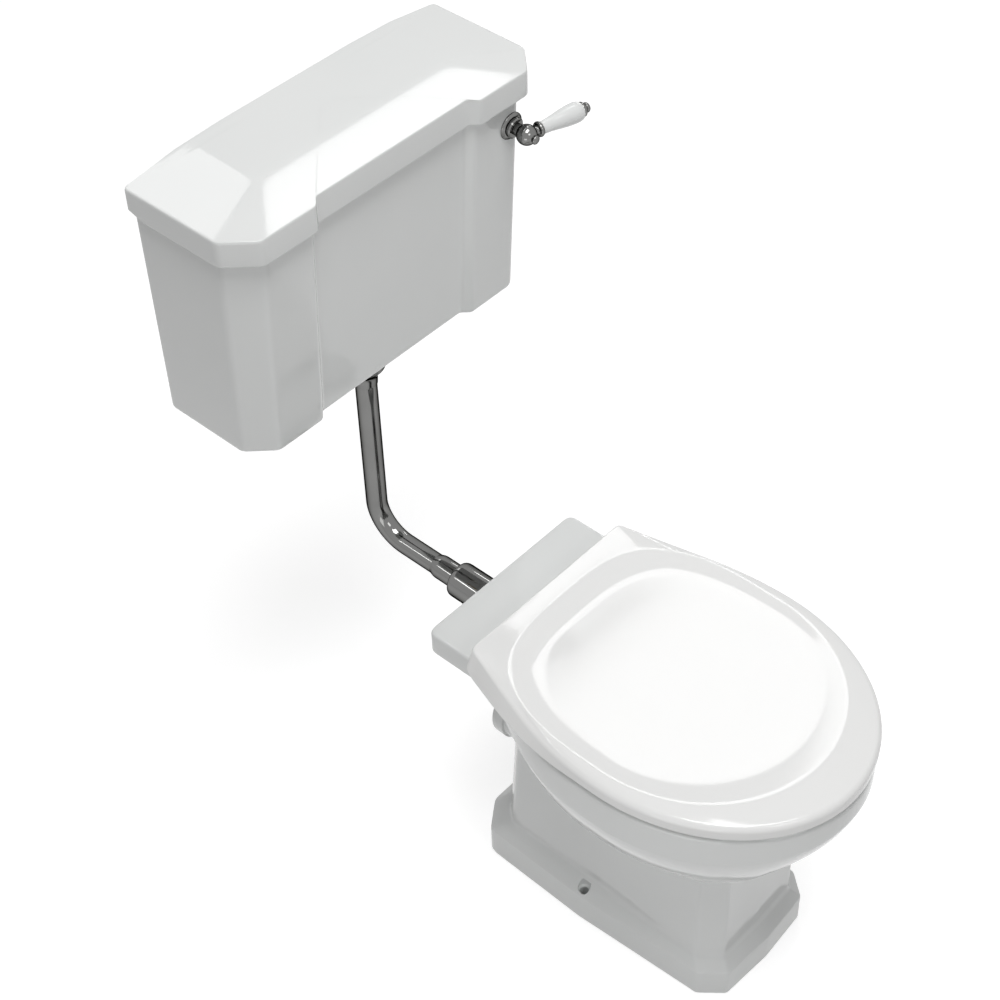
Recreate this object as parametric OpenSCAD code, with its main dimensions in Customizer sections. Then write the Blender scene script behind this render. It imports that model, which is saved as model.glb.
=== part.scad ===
// Low level toilet: pan, seat, wall-hung cistern, flush pipe and lever
// Millimetres. Origin on the floor midway between the two floor screws, +Y to the wall, +Z up.

/* [Pan] */
// Height of the pan rim above the floor
rim_z = 409; // [390:1:430]
// Widest width of the rim
rim_w = 372; // [350:1:390]
// Distance from the widest point of the rim to its front
rim_front_len = 231; // [215:1:245]
// Depth of the upright band round the rim
rim_band = 34; // [28:1:42]
// Extra depth of that band at the sides
rim_band_dip = 16.6; // [5:0.1:20]
// Width of the rim from outside to the bowl opening
rim_ledge = 50; // [44:1:54]
// Thickness of the glazed china walls
china_wall = 11; // [9:1:13]
// Width of the flat foot at its middle
foot_w = 222; // [212:1:232]
// Height of the foot's upright side
foot_side_h = 47; // [40:1:52]
// Width of the pedestal
pedestal_w = 180; // [170:1:190]

/* [Shelf] */
// Width of the shelf behind the bowl
shelf_w = 264; // [250:1:272]
// Height of the top of the shelf
shelf_z = 416; // [412:1:424]
// Thickness of the shelf
shelf_t = 35.7; // [30:0.1:40]
// Distance from the origin to the back of the shelf
shelf_back_y = 224.8; // [215:0.1:230]

/* [Waste] */
// Height of the centre of the waste spigot
waste_z = 187; // [180:1:195]
// Outside radius of the waste spigot
waste_r = 50; // [48:0.5:52]
// Bore radius of the trap
trap_r = 37; // [34:0.5:39]
// Distance from the origin to the open end of the spigot
waste_end_y = 203; // [195:1:210]

/* [Seat] */
// How far the closed seat lid stands out past each side of the rim
lid_overhang = 2.2; // [1:0.1:5]
// How far it stands out past the front of the rim
lid_front_overhang = 2.4; // [1:0.1:5]
// Height of the lid's top at its outer edge
lid_edge_z = 431; // [430:0.5:433]
// Height of the lid's top at the back
lid_rear_z = 446; // [445.5:0.1:447]
// Thickness of the lid's moulded wall
lid_t = 4; // [3.5:0.1:4.5]
// Distance between the two hinge posts
hinge_spacing = 155; // [145:1:165]
// Radius of the hinge pin
hinge_pin_r = 3; // [2.5:0.1:3.5]

/* [Cistern] */
// Width of the cistern lid
cistern_lid_w = 480; // [460:1:500]
// Distance from the wall to the front of the cistern lid
cistern_lid_depth = 178.2; // [172:0.1:186]
// Height of the bottom edge of the cistern lid
cistern_top_z = 957.2; // [950:0.1:965]
// Height of the bottom of the cistern
cistern_bottom_z = 665.8; // [655:0.1:675]
// Width of the cistern body at the top
body_top_w = 462.6; // [445:0.1:464]
// Width of the cistern body at the bottom
body_bottom_w = 455.4; // [440:0.1:460]
// Depth of the recess down the middle of the front
recess_depth = 10.6; // [8:0.1:12]
// Half width of the recess where it is deepest
recess_half_w = 118.2; // [110:0.1:125]

/* [Flush pipe] */
// Outside radius of the flush pipe
pipe_r = 14; // [12.5:0.1:15]
// Radius of the pipe's bend at its centre line
pipe_bend_r = 50; // [45:1:60]
// Height of the pipe's lower leg
inlet_z = 349; // [346:1:351]

/* [Lever] */
// Distance from the middle of the cistern to the lever
lever_x = 188; // [184:1:190]
// Height of the lever's axis
lever_z = 920; // [912:1:924]
// Length of the lever from its axis to its tip
lever_len = 92; // [86:1:98]
// Radius of the lever's spindle
spindle_r = 5; // [4.5:0.1:5.5]

/* [Float] */
// Radius of the float ball
float_r = 45; // [38:1:46]

/* [Hidden] */
$fn = 48;

// Clearances
fit_gap = 0.05;
part_gap = 0.3;
loose_gap = 1;

// Place of the wall behind the cistern
wall_y = 530;

// Widest point of the seat and bowl, used as the centre of the pan's sections
mid_y = -82;
// Where the lid's upper edge starts to draw in, and where it runs straight
lid_draw_y = mid_y;
// The same for the wider lower edge of the seat
base_draw_y = -37;
// Sideways draw of the seat's edge for each squared millimetre, and of the rim, which tapers more
draw_rate = 0.0013;
rim_draw_rate = 0.0021;
rim_draw_y = -53;
// Length over which the edge curves before it runs straight
draw_len = 122;

// Rounding and chamfers of the cistern
corner_chamfer = 34.5;
edge_round = 6;

// Size of the closed seat lid
lid_w = rim_w + 2 * lid_overhang;
lid_front_len = rim_front_len + lid_front_overhang;

// Hinge
hinge_y = 134;
hinge_z = shelf_z + 16.5;
lug_r = 8.5;
post_r = 6.5;
stud_r = 4;
lid_sweep_r = 15.5;

// Vertical line of the flush pipe and siphon
pipe_y = 442.4;

// Basic shapes

// Unit vector
function unit(v) = v / norm(v);

// Curve that rounds the corner p between its neighbours a and b, starting cut before it
function rounded_corner(a, p, b, cut, steps) =
    let (start = p + unit(a - p) * cut, end = p + unit(b - p) * cut)
    [for (i = [0:steps]) let (t = i / steps) start * pow(1 - t, 2) + p * 2 * t * (1 - t) + end * t * t];

// Outline through corners given as [x, y, cut]
function soft_outline(corners, steps = 3) =
    let (n = len(corners), xy = [for (c = corners) [c.x, c.y]])
    [for (i = [0:n - 1])
        each rounded_corner(xy[(i + n - 1) % n], xy[i], xy[(i + 1) % n], corners[i][2], steps)];

// Mirror the right-hand half of an outline, listed from front to back, to the left
function both_sides(half) =
    concat(half, [for (i = [len(half) - 1:-1:0]) if (half[i].x > 0.01) [-half[i].x, half[i].y]]);

// Ring of points at one height
function level(outline, z) = [for (p = outline) [p.x, p.y, z]];

// Numbers from a up to, but not including, b
function spread(a, b, n) = [for (i = [0:n - 1]) a + (b - a) * i / n];

// Number held between two limits
function held(v, low, high) = max(low, min(high, v));

// Closed skin through rings of points, each anticlockwise seen from above, the first ring lowest.
// A looped skin joins the last ring back to the first, as a tube bent into a ring does.
module skin(rings, looped = false) {
    n = len(rings[0]);
    m = len(rings);
    walls = [for (k = [0:looped ? m - 1 : m - 2]) for (i = [0:n - 1])
        let (a = k * n + i, b = k * n + (i + 1) % n, c = ((k + 1) % m) * n + (i + 1) % n, d = ((k + 1) % m) * n + i)
        each [[a, c, b], [a, d, c]]];
    caps = looped ? [] : [[for (i = [0:n - 1]) i], [for (i = [n - 1:-1:0]) (m - 1) * n + i]];
    polyhedron([for (r = rings) each r], concat(caps, walls));
}

// Turned shape about the Y axis, from a profile of [radius, y]
module turned_y(profile) {
    rotate([-90, 0, 0]) rotate_extrude() polygon(profile);
}

// Hexagon nut along Z, from the flats across, with a round hole
module hex_nut(flats, h, hole_r) {
    difference() {
        cylinder(h = h, r = flats / sqrt(3), $fn = 6);
        translate([0, 0, -1]) cylinder(h = h + 2, r = hole_r);
    }
}

// Flat ring along Z
module washer(r, hole_r, h) {
    difference() {
        cylinder(h = h, r = r);
        translate([0, 0, -1]) cylinder(h = h + 2, r = hole_r);
    }
}

// Seat and rim outline

// How far the side edge has drawn in at y
function draw_in(y, start, rate) =
    let (d = max(0, y - start))
    rate * pow(min(d, draw_len), 2) + 2 * rate * draw_len * max(0, d - draw_len);

// Outline of the seat and rim: half an ellipse at the front, sides that draw in, a straight back
function seat_outline(w, front_len, back, start, rate = draw_rate, corner = 8) =
    let (a = w / 2, turn_y = back - corner,
        side = [for (t = spread(0, 1, 8)) let (y = mid_y + (turn_y - mid_y) * t) [a - draw_in(y, start, rate), y]],
        before = [a - draw_in(turn_y, start, rate), turn_y])
    both_sides(concat([[0, mid_y - front_len]],
        [for (t = spread(7.5, 90, 11)) [a * sin(t), mid_y - front_len * cos(t)]], side,
        rounded_corner(before, [a - draw_in(back, start, rate), back], [0, back], corner, 3)));

// Oval with as many points as an outline: half width a, a round front and a squarer back
function oval_like(outline, a, front, back, square = 2) =
    let (half = (len(outline) + 1) / 2)
    both_sides([for (i = [0:half - 1])
        let (t = 180 * i / half, length = t < 90 ? mid_y - front : back - mid_y, power = t < 90 ? 1 : 2 / square)
        [a * pow(sin(t), power), mid_y - sign(cos(t)) * length * pow(abs(cos(t)), power)]]);

// Circle with as many points as an outline
function circle_like(outline, centre_y, r) =
    let (half = (len(outline) + 1) / 2)
    both_sides([for (i = [0:half - 1]) let (t = 180 * i / half) [r * sin(t), centre_y - r * cos(t)]]);

// Rings or outlines a share u of the way from inner to outer
function between(inner, outer, u) = [for (i = [0:len(inner) - 1]) inner[i] + (outer[i] - inner[i]) * u];

// Outline moved inwards by d
function inset_line(outline, d) =
    let (n = len(outline))
    [for (i = [0:n - 1])
        let (t = unit(outline[(i + 1) % n] - outline[(i + n - 1) % n])) outline[i] + d * [-t.y, t.x]];

// Pan

rim_outline = seat_outline(rim_w, rim_front_len, 112, rim_draw_y, rim_draw_rate, 20);
opening_half_w = rim_w / 2 - rim_ledge;
opening_front = mid_y - rim_front_len + rim_ledge;
opening_back = 86;
pan_centre = [0, mid_y];

// Corners of the foot and of the pedestal's bottom and top, right-hand half from the front
foot_half = [[0, -222], [76, -217], [foot_w / 2 - 10, -187], [foot_w / 2, 0], [foot_w / 2 - 4, 158],
    [66, 187], [0, 187]];
foot_corners = both_sides(foot_half);
pedestal_back_y = 153;
pedestal_half = [[0, -204], [pedestal_w / 2 - 22, -202], [pedestal_w / 2, -173],
    [pedestal_w / 2, pedestal_back_y - 20], [pedestal_w / 2 - 18, pedestal_back_y], [0, pedestal_back_y]];
pedestal_corners = both_sides(pedestal_half);
// How far the back of the pedestal leans in at the top, and the heights between which it leans
pedestal_lean = 14;
lean_from_z = 66;
lean_h = 160;

// Directions, in degrees from the front round to the back, at which the pan's sections are taken
right_angles = concat(spread(0, 26, 4), spread(27, 47, 5), spread(48, 152, 14), spread(153, 165, 4),
    spread(166, 180, 2));
pan_angles = concat(right_angles, [180], [for (i = [len(right_angles) - 1:-1:1]) 360 - right_angles[i]]);

// Distance from the centre c to a convex outline in direction u
function reach(corners, c, u) =
    let (n = len(corners))
    min([for (i = [0:n - 1])
        let (p = corners[i], q = corners[(i + 1) % n], side = [q.y - p.y, p.x - q.x], ahead = side * u)
        if (ahead > 0.0001) side * (p - c) / ahead]);

// Direction for an angle measured from the front
function heading(a) = [sin(a), -cos(a)];

// Reach averaged over a few degrees, which rounds the corners
function soft_reach(corners, a) =
    (reach(corners, pan_centre, heading(a - 2)) + reach(corners, pan_centre, heading(a))
        + reach(corners, pan_centre, heading(a + 2))) / 3;

foot_reach = [for (a = pan_angles) soft_reach(foot_corners, a)];
pedestal_reach = [for (a = pan_angles) soft_reach(pedestal_corners, a)];
rim_reach = [for (a = pan_angles) reach(rim_outline, pan_centre, heading(a))];

// Angle from the front, the same on both sides
function from_front(a) = a > 180 ? 360 - a : a;

// Height of the lower edge of the rim band, and of the line where the bowl meets the pedestal
function band_bottom(a) = rim_z - rim_band - rim_band_dip * pow(sin(from_front(a)), 1.3);
bowl_low_z = 160;
bowl_front_rise = 75;
bowl_rear_rise = 102;
low_angle = 128;
high_angle = 160;
function bowl_bottom(a) =
    let (s = from_front(a))
    bowl_low_z + (s < low_angle ? bowl_front_rise * pow(cos(s * 90 / low_angle), 1.1)
        : bowl_rear_rise * pow(sin(90 * min(1, (s - low_angle) / (high_angle - low_angle))), 1.5));
// How full the bowl is below the band: above 1 it bulges, below 1 it is hollowed
function fullness(a) =
    let (s = from_front(a)) 1.5 - 0.3 * held((s - 60) / 60, 0, 1) - 0.55 * held((s - 120) / 35, 0, 1);

// Ring of the pan's outside: reach at each angle, and a height
function pan_ring(reaches, heights) =
    [for (i = [0:len(pan_angles) - 1])
        let (p = pan_centre + heading(pan_angles[i]) * reaches[i]) [p.x, p.y, heights[i]]];
function flat_heights(z) = [for (a = pan_angles) z];
function less(reaches, d) = [for (r = reaches) r - d];

// Reach of the pedestal at height z, leaning in at the back
function pedestal_at(z) =
    let (lean = pedestal_lean * held((z - lean_from_z) / lean_h, 0, 1))
    [for (i = [0:len(pan_angles) - 1]) pedestal_reach[i] - lean * pow(max(0, -cos(pan_angles[i])), 3)];

// Bowl's outside between the pedestal, t = 0, and the rim band, t = 1
function flank_ring(t) =
    let (root = pedestal_at(lean_from_z + lean_h))
    pan_ring(
        [for (i = [0:len(pan_angles) - 1])
            root[i] + (rim_reach[i] - root[i]) * (1 - pow(1 - t, fullness(pan_angles[i])))],
        [for (a = pan_angles) bowl_bottom(a) + (band_bottom(a) - bowl_bottom(a)) * t]);

// Rings of the foot, the sloping ledge above it and the root of the pedestal
ledge_reach = [for (i = [0:len(pan_angles) - 1]) max(foot_reach[i] - 16, pedestal_reach[i] + 2)];
module pan_outside() {
    skin([
        pan_ring(less(foot_reach, 3), flat_heights(0)),
        pan_ring(foot_reach, flat_heights(3)),
        pan_ring(foot_reach, flat_heights(foot_side_h - 7)),
        pan_ring(less(foot_reach, 2), flat_heights(foot_side_h - 2)),
        pan_ring(less(foot_reach, 7), flat_heights(foot_side_h + 2)),
        pan_ring(ledge_reach, flat_heights(foot_side_h + 13)),
        pan_ring(less(pedestal_at(66), -1), flat_heights(foot_side_h + 19)),
        pan_ring(pedestal_at(80), flat_heights(foot_side_h + 31)),
        flank_ring(0), flank_ring(0.12), flank_ring(0.28), flank_ring(0.46), flank_ring(0.64),
        flank_ring(0.8), flank_ring(0.93), flank_ring(1),
        pan_ring(rim_reach, flat_heights(rim_z - 9)),
        pan_ring(less(rim_reach, 2.5), flat_heights(rim_z - 2.5)),
        pan_ring(less(rim_reach, 9), flat_heights(rim_z))]);
}

// Bowl opening, open flush channel under the rim, and the well down to the trap
well_outline = seat_outline(rim_w - 2 * china_wall, rim_front_len - china_wall, 97, rim_draw_y, rim_draw_rate, 16);
rim_opening = oval_like(well_outline, opening_half_w, opening_front, opening_back, 2.4);
rim_lip = oval_like(well_outline, opening_half_w + 10, opening_front - 10, opening_back + 6, 2.4);
throat_z = 160;
throat_y = -30;
throat_ring = circle_like(well_outline, throat_y, trap_r);
well_top_z = rim_z - 34;
// The well narrows sooner behind the centre, where the bowl's outside draws in to the pedestal
function well_ring(t) =
    [for (i = [0:len(well_outline) - 1])
        let (p = well_outline[i], q = throat_ring[i], dir = unit(p - pan_centre),
            w = pow(t, 1.4 + 0.35 * dir.x * dir.x - 0.55 * max(0, dir.y)), m = p + (q - p) * w)
        [m.x, m.y, well_top_z + (throat_z - well_top_z) * t]];

module bowl_well() {
    skin([for (k = [9:-1:0]) well_ring(k / 9)]);
    skin([level(rim_opening, well_top_z - 2), level(rim_opening, rim_z - 7),
        level(between(rim_opening, rim_lip, 0.2), rim_z - 2),
        level(between(rim_opening, rim_lip, 0.7), rim_z + 0.5)]);
}

// Flush channel behind the rim's inner lip
module rim_channel() {
    difference() {
        skin([level(well_outline, well_top_z - 0.5), level(well_outline, rim_z - 14)]);
        skin([level(rim_lip, well_top_z - 3), level(rim_lip, rim_z)]);
    }
}

// Trap: down from the throat, round the dip, up over the weir and down to the spigot

dip_r = 55;
weir_r = 50;
weir_z = 205;
dip_z = 84;
rise = 72;
fall = 20;
dip_centre = [throat_y + dip_r, dip_z + dip_r];
rise_start = dip_centre + dip_r * [sin(rise), -cos(rise)];
weir_start_z = weir_z - weir_r + weir_r * cos(rise);
rise_len = (weir_start_z - rise_start[1]) / sin(rise);
weir_centre = rise_start + rise_len * [cos(rise), sin(rise)] + weir_r * [sin(rise), -cos(rise)];
fall_start = weir_centre + weir_r * [sin(fall), cos(fall)];
fall_len = (fall_start[1] - waste_z) / sin(fall);

// Points along the waterway's centre line as [y, z, heading], the heading measured up from level
way_step = 18;
way_points = concat(
    [[throat_y, throat_z + 8, -90]],
    [for (t = [-90:way_step:rise]) [each dip_centre + dip_r * [sin(t), -cos(t)], t]],
    [for (t = [rise:-way_step:-fall + 5]) [each weir_centre + weir_r * [-sin(t), cos(t)], t]],
    [[each fall_start, -fall]]);

// Waterway of radius r as one skin, which ends a distance run down the fall
way_sides = 24;
module trap_way(r, run) {
    skin([for (w = concat(way_points, [[each fall_start + run * [cos(fall), -sin(fall)], -fall]]))
        [for (i = [0:way_sides - 1]) let (a = 360 * i / way_sides)
            [r * cos(a), w[0] + r * sin(a) * sin(w[2]), w[1] - r * sin(a) * cos(w[2])]]]);
}

// Where the free collar of the spigot starts, and how far it stands proud of the neck
waste_collar_y = waste_end_y - 19;
waste_collar_step = 3;
module waste_spigot(r, from, to) {
    translate([0, from, waste_z]) rotate([-90, 0, 0]) cylinder(h = to - from, r = r);
}

// Hollow of the pedestal, open to the floor
hollow_reach = less(pedestal_reach, china_wall + 1);
hollow_top_z = 150;
hollow_top_reach = [for (r = hollow_reach) min(r, 150) - 12];
module pedestal_hollow() {
    skin([pan_ring(hollow_reach, flat_heights(-1)), pan_ring(hollow_reach, flat_heights(hollow_top_z - 30)),
        pan_ring(hollow_top_reach, flat_heights(hollow_top_z))]);
}

floor_hole_x = 100;
floor_hole_r = 6;
horn_r = 29;
horn_bore_r = 20;
horn_end_y = 230;

shelf_front_y = opening_back + 11;
rib_half_w = 14;

module shelf_slab() {
    half = shelf_w / 2;
    front = shelf_front_y;
    corners = function (d) soft_outline([[-half + d, front, 2], [half - d, front, 2],
        [half - d, shelf_back_y - d, 12], [-half + d, shelf_back_y - d, 12]]);
    bottom = shelf_z - shelf_t;
    skin([level(corners(4), bottom), level(corners(1), bottom + 1.5), level(corners(0), bottom + 5),
        level(corners(0), shelf_z - 5), level(corners(1), shelf_z - 1.5), level(corners(4), shelf_z)]);
}

module flush_horn(r, from, to) {
    translate([0, from, inlet_z]) rotate([-90, 0, 0]) cylinder(h = to - from, r = r);
}

module pan() color("white") difference() {
    union() {
        difference() {
            pan_outside();
            pedestal_hollow();
        }
        shelf_slab();
        trap_way(trap_r + china_wall - 2, 10);
        waste_spigot(waste_r - waste_collar_step, pedestal_back_y - 20, waste_collar_y + 1);
        waste_spigot(waste_r, waste_collar_y, waste_end_y);
        flush_horn(horn_r, 60, horn_end_y);
        translate([-rib_half_w, shelf_front_y, inlet_z])
            cube([2 * rib_half_w, shelf_back_y - shelf_front_y - 9, shelf_z - shelf_t - inlet_z + 2]);
    }
    bowl_well();
    rim_channel();
    trap_way(trap_r, fall_len);
    waste_spigot(waste_r - 8, fall_start[0] + fall_len / 2, waste_end_y + 1);
    flush_horn(horn_bore_r, 40, horn_end_y + 1);
    for (side = [-1, 1]) {
        translate([side * floor_hole_x, 0, -1]) cylinder(h = 80, r = floor_hole_r);
        translate([side * floor_hole_x, 0, foot_side_h]) cylinder(h = 3.5, r1 = 6, r2 = 9.5);
        translate([side * floor_hole_x, 0, foot_side_h + 3.5]) cylinder(h = 30, r = 9.5);
        translate([side * hinge_spacing / 2, hinge_y, shelf_z - shelf_t - 20])
            cylinder(h = shelf_t + 40, r = stud_r + 2);
    }
}

// Cistern

// How far ahead of the back the lid's lower edge steps up to rest on the body's back wall
side_break = 12;
// Outline of cistern body or lid: straight back, chamfered front corners and recessed middle
function cistern_outline(half, front, chamfer, recess, back = wall_y, round = edge_round) =
    soft_outline([
        [-half, back, round], [-half, back - side_break, 0.5],
        [-half, front + chamfer, 10], [-half + chamfer - 1, front, 10],
        [-recess_half_w - 9.8, front, 4], [-recess_half_w, front + recess, 4],
        [recess_half_w, front + recess, 4], [recess_half_w + 9.8, front, 4],
        [half - chamfer + 1, front, 10], [half, front + chamfer, 10], [half, back - side_break, 0.5],
        [half, back, round]]);

lid_front_y = wall_y - cistern_lid_depth;
body_z = cistern_top_z + 5;
body_top_front = lid_front_y + 9;
body_bottom_front = body_top_front + 17.7;
body_top_half = body_top_w / 2;
body_bottom_half = body_bottom_w / 2;
cistern_floor_t = 12;
// The underside of the floor is recessed a little from the rim that the walls make below
floor_under_z = cistern_bottom_z + 1.5;

// Share of the way up the body, and the body's section there, d inside its outer face
function up(z) = (z - cistern_bottom_z) / (body_z - cistern_bottom_z);
function body_section(z, d, wall = 0) =
    let (half = body_bottom_half + (body_top_half - body_bottom_half) * up(z) - d,
        front = body_bottom_front + (body_top_front - body_bottom_front) * up(z) + d)
    level(cistern_outline(half, front, corner_chamfer - 3 * (1 - up(z)) - 0.4 * d, recess_depth, wall_y - wall), z);
function body_front_y(z) = body_bottom_front + (body_top_front - body_bottom_front) * up(z);

siphon_hole_r = 24;
valve_x = china_wall + 26.7 - min(body_bottom_half, body_top_half);
valve_hole_r = 11.5;
wall_hole_x = body_top_half - 81.3;
wall_hole_z = 900;
wall_hole_r = 4;

// Lean of the cistern's front face, and a frame on it at the lever's axis
front_lean = atan((body_bottom_front - body_top_front) / (body_z - cistern_bottom_z));
lever_face_y = body_front_y(lever_z);
module on_lever() {
    translate([lever_x, lever_face_y, lever_z]) rotate([front_lean, 0, 0]) children();
}
lever_hole_r = 10;
lever_gasket_r = 14;

// The walls are one looped skin, and the floor is a plate let into them
module cistern_body() color("white") difference() {
    union() {
        skin([body_section(cistern_bottom_z, china_wall + 3, china_wall + 3), body_section(cistern_bottom_z, 8),
            body_section(cistern_bottom_z + 2, 4), body_section(cistern_bottom_z + 6, 1),
            body_section(cistern_bottom_z + 12, 0), body_section(body_z, 0),
            body_section(body_z, china_wall, china_wall),
            body_section(cistern_bottom_z + cistern_floor_t + 8, china_wall, china_wall)], looped = true);
        translate([0, 0, floor_under_z]) linear_extrude(height = cistern_bottom_z + cistern_floor_t - floor_under_z)
            polygon([for (p = body_section(cistern_bottom_z + 8, 8, 8)) [p.x, p.y]]);
    }
    translate([0, pipe_y, cistern_bottom_z - 1]) cylinder(h = cistern_floor_t + 3, r = siphon_hole_r);
    translate([valve_x, pipe_y, cistern_bottom_z - 1]) cylinder(h = cistern_floor_t + 3, r = valve_hole_r);
    on_lever() translate([0, -3, 0]) rotate([-90, 0, 0]) cylinder(h = china_wall + 8, r = lever_hole_r);
    on_lever() translate([0, china_wall, 0]) rotate([-90, 0, 0])
        cylinder(h = 2 * lever_gasket_r, r = lever_gasket_r + loose_gap);
    for (side = [-1, 1])
        translate([side * wall_hole_x, wall_y - china_wall - 3, wall_hole_z]) rotate([-90, 0, 0])
            cylinder(h = china_wall + 6, r = wall_hole_r);
}

// Cistern lid: upright rim, slopes at the front and sides, flat top, and a locating rib below
lid_half = cistern_lid_w / 2;
lid_rim_h = 33.6;
lid_slope_h = 12.3;
rim_top_z = cistern_top_z + lid_rim_h;
lid_top_z = rim_top_z + lid_slope_h;
lid_seat_z = body_z + part_gap;
skirt_t = 6.5;
// Distance from the lid's edge to the inner side of the band that rests on the body
band_inset = lid_half - body_top_half + china_wall + 8;
// Section of the lid at height z, d inside its edge, where the low ones step up at the back
function lid_section(z, d, back = wall_y) =
    let (low = z < cistern_top_z + 3)
    [for (p = cistern_outline(lid_half - d, lid_front_y + d, corner_chamfer - 0.4 * d, recess_depth, back))
        [p.x, p.y, z + (low && p.y > back - side_break ? lid_seat_z - cistern_top_z : 0)]];
plateau_half = lid_half - 90.4;
plateau_front = lid_front_y + 68.7;
plateau_corner = 8;
lid_plateau = soft_outline([
    [-plateau_half, wall_y, 6], [-plateau_half, wall_y - side_break, 0.5],
    [-plateau_half, plateau_front + plateau_corner, 4], [-plateau_half + plateau_corner, plateau_front, 4],
    [-plateau_half + 50, plateau_front, 4], [-plateau_half + 60, plateau_front, 4],
    [plateau_half - 60, plateau_front, 4], [plateau_half - 50, plateau_front, 4],
    [plateau_half - plateau_corner, plateau_front, 4], [plateau_half, plateau_front + plateau_corner, 4],
    [plateau_half, wall_y - side_break, 0.5], [plateau_half, wall_y, 6]]);

module cistern_lid() color("white") skin([
    lid_section(rim_top_z - 10, band_inset + 9, wall_y - 30), lid_section(rim_top_z - 16, band_inset, wall_y - 22),
    lid_section(lid_seat_z, band_inset, wall_y - 22), lid_section(lid_seat_z, skirt_t + 0.5, wall_y - 8),
    lid_section(cistern_top_z, skirt_t, wall_y - 7), lid_section(cistern_top_z, 1.5),
    lid_section(cistern_top_z + 2, 0), lid_section(rim_top_z - 3, 0), lid_section(rim_top_z, 2.5),
    level(between(level(lid_plateau, lid_top_z), lid_section(rim_top_z, 2.5), 0.07), lid_top_z - 0.9),
    level(lid_plateau, lid_top_z)]);

// Flush pipe, its nut, the pan inlet cup and the cone in the pan

pipe_wall = 1.5;
pipe_top_z = cistern_bottom_z - 23.8;
cup_back_y = 300;
cup_r = 24.5;
pipe_end_y = horn_end_y - 30;

// Round bend in the plane x = 0 about a centre given as [y, z]
module upright_bend(centre, bend_r, r, from, turn) {
    translate([0, centre[0], centre[1]]) rotate([90, 0, 90]) rotate([0, 0, from])
        rotate_extrude(angle = turn) translate([bend_r, 0]) circle(r);
}

module pipe_solid(r) {
    translate([0, pipe_y, inlet_z + pipe_bend_r]) cylinder(h = pipe_top_z - inlet_z - pipe_bend_r, r = r);
    upright_bend([pipe_y - pipe_bend_r, inlet_z + pipe_bend_r], pipe_bend_r, r, 270, 90);
    flush_horn(r, pipe_end_y, pipe_y - pipe_bend_r);
}

module flush_pipe() color("silver") difference() {
    union() {
        pipe_solid(pipe_r);
        translate([0, cup_back_y - 20, inlet_z])
            turned_y([[0, 0], [pipe_r + 2.2, 0], [pipe_r + 2.2, 50], [pipe_r, 58], [0, 58]]);
        translate([0, pipe_y, pipe_top_z - 6]) cylinder(h = 6, r = pipe_r + 4);
    }
    pipe_solid(pipe_r - pipe_wall);
    translate([0, pipe_end_y - 1, inlet_z]) rotate([-90, 0, 0]) cylinder(h = 5, r = pipe_r - pipe_wall);
    translate([0, pipe_y, pipe_top_z - 5]) cylinder(h = 10, r = pipe_r - pipe_wall);
}

siphon_tail_r = 22.5;
siphon_tail_z = pipe_top_z + part_gap;
nut_hub_r = siphon_tail_r + 4;
module flush_pipe_nut() color("silver") translate([0, pipe_y, 0]) rotate_extrude()
    polygon([[pipe_r + 0.5, pipe_top_z - 38], [pipe_r + 1, pipe_top_z - 38], [pipe_r + 2, pipe_top_z - 22],
        [nut_hub_r - 2, pipe_top_z - 12], [nut_hub_r, pipe_top_z - 9], [nut_hub_r, pipe_top_z + 6],
        [nut_hub_r - 1.5, pipe_top_z + 8], [siphon_tail_r + part_gap, pipe_top_z + 8],
        [siphon_tail_r + part_gap, pipe_top_z - 8], [pipe_r + 0.5, pipe_top_z - 8]]);

module pan_inlet_cup() color("silver") translate([0, horn_end_y + part_gap, inlet_z])
    turned_y([[cup_r - 2, 0], [cup_r, 0], [cup_r, 60], [cup_r - 1.2, 65], [cup_r - 4, 68.5], [cup_r - 8, 70],
        [16.5, 70], [16.5, 67], [cup_r - 5, 65], [cup_r - 2, 60]]);

module flush_cone() color("dimgray") translate([0, horn_end_y - 24, inlet_z])
    turned_y([[pipe_r + fit_gap, 0], [horn_bore_r - 1.5, 0], [horn_bore_r - fit_gap, 20], [horn_bore_r - fit_gap, 24],
        [cup_r - 2.2, 24.3], [cup_r - 2.2, 34], [pipe_r + fit_gap, 38]]);

// Seat

lid_back_y = hinge_y + 14.3;
lid_base = seat_outline(lid_w, lid_front_len, lid_back_y, base_draw_y);
lid_edge = seat_outline(lid_w, lid_front_len, lid_back_y, lid_draw_y);
ring_z = rim_z + 3;
lid_bottom_z = ring_z + 3.8;
crease = oval_like(lid_edge, lid_w / 2 - 25, mid_y - lid_front_len + 58, hinge_y + 6, 2.6);
dish = circle_like(lid_edge, mid_y + 30, 5);

// Height d below the lid's top at y, which rises from low towards the hinge
function rise_to_hinge(y, low, d) =
    low - d + (lid_rear_z - low) * pow(held((y - mid_y) / (lid_back_y - mid_y), 0, 1), 2);
function raised(outline, low, d) = [for (p = outline) [p.x, p.y, rise_to_hinge(p.y, low, d)]];
// Height of the skirt's lower edge, lifted behind the hinge so that it clears the shelf
function skirt_z(y) = y <= hinge_y ? lid_bottom_z : hinge_z - sqrt(max(1, pow(lid_sweep_r, 2) - pow(y - hinge_y, 2)));
function skirt(outline, up = 0) = [for (p = outline) [p.x, p.y, skirt_z(p.y) + up]];

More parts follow.
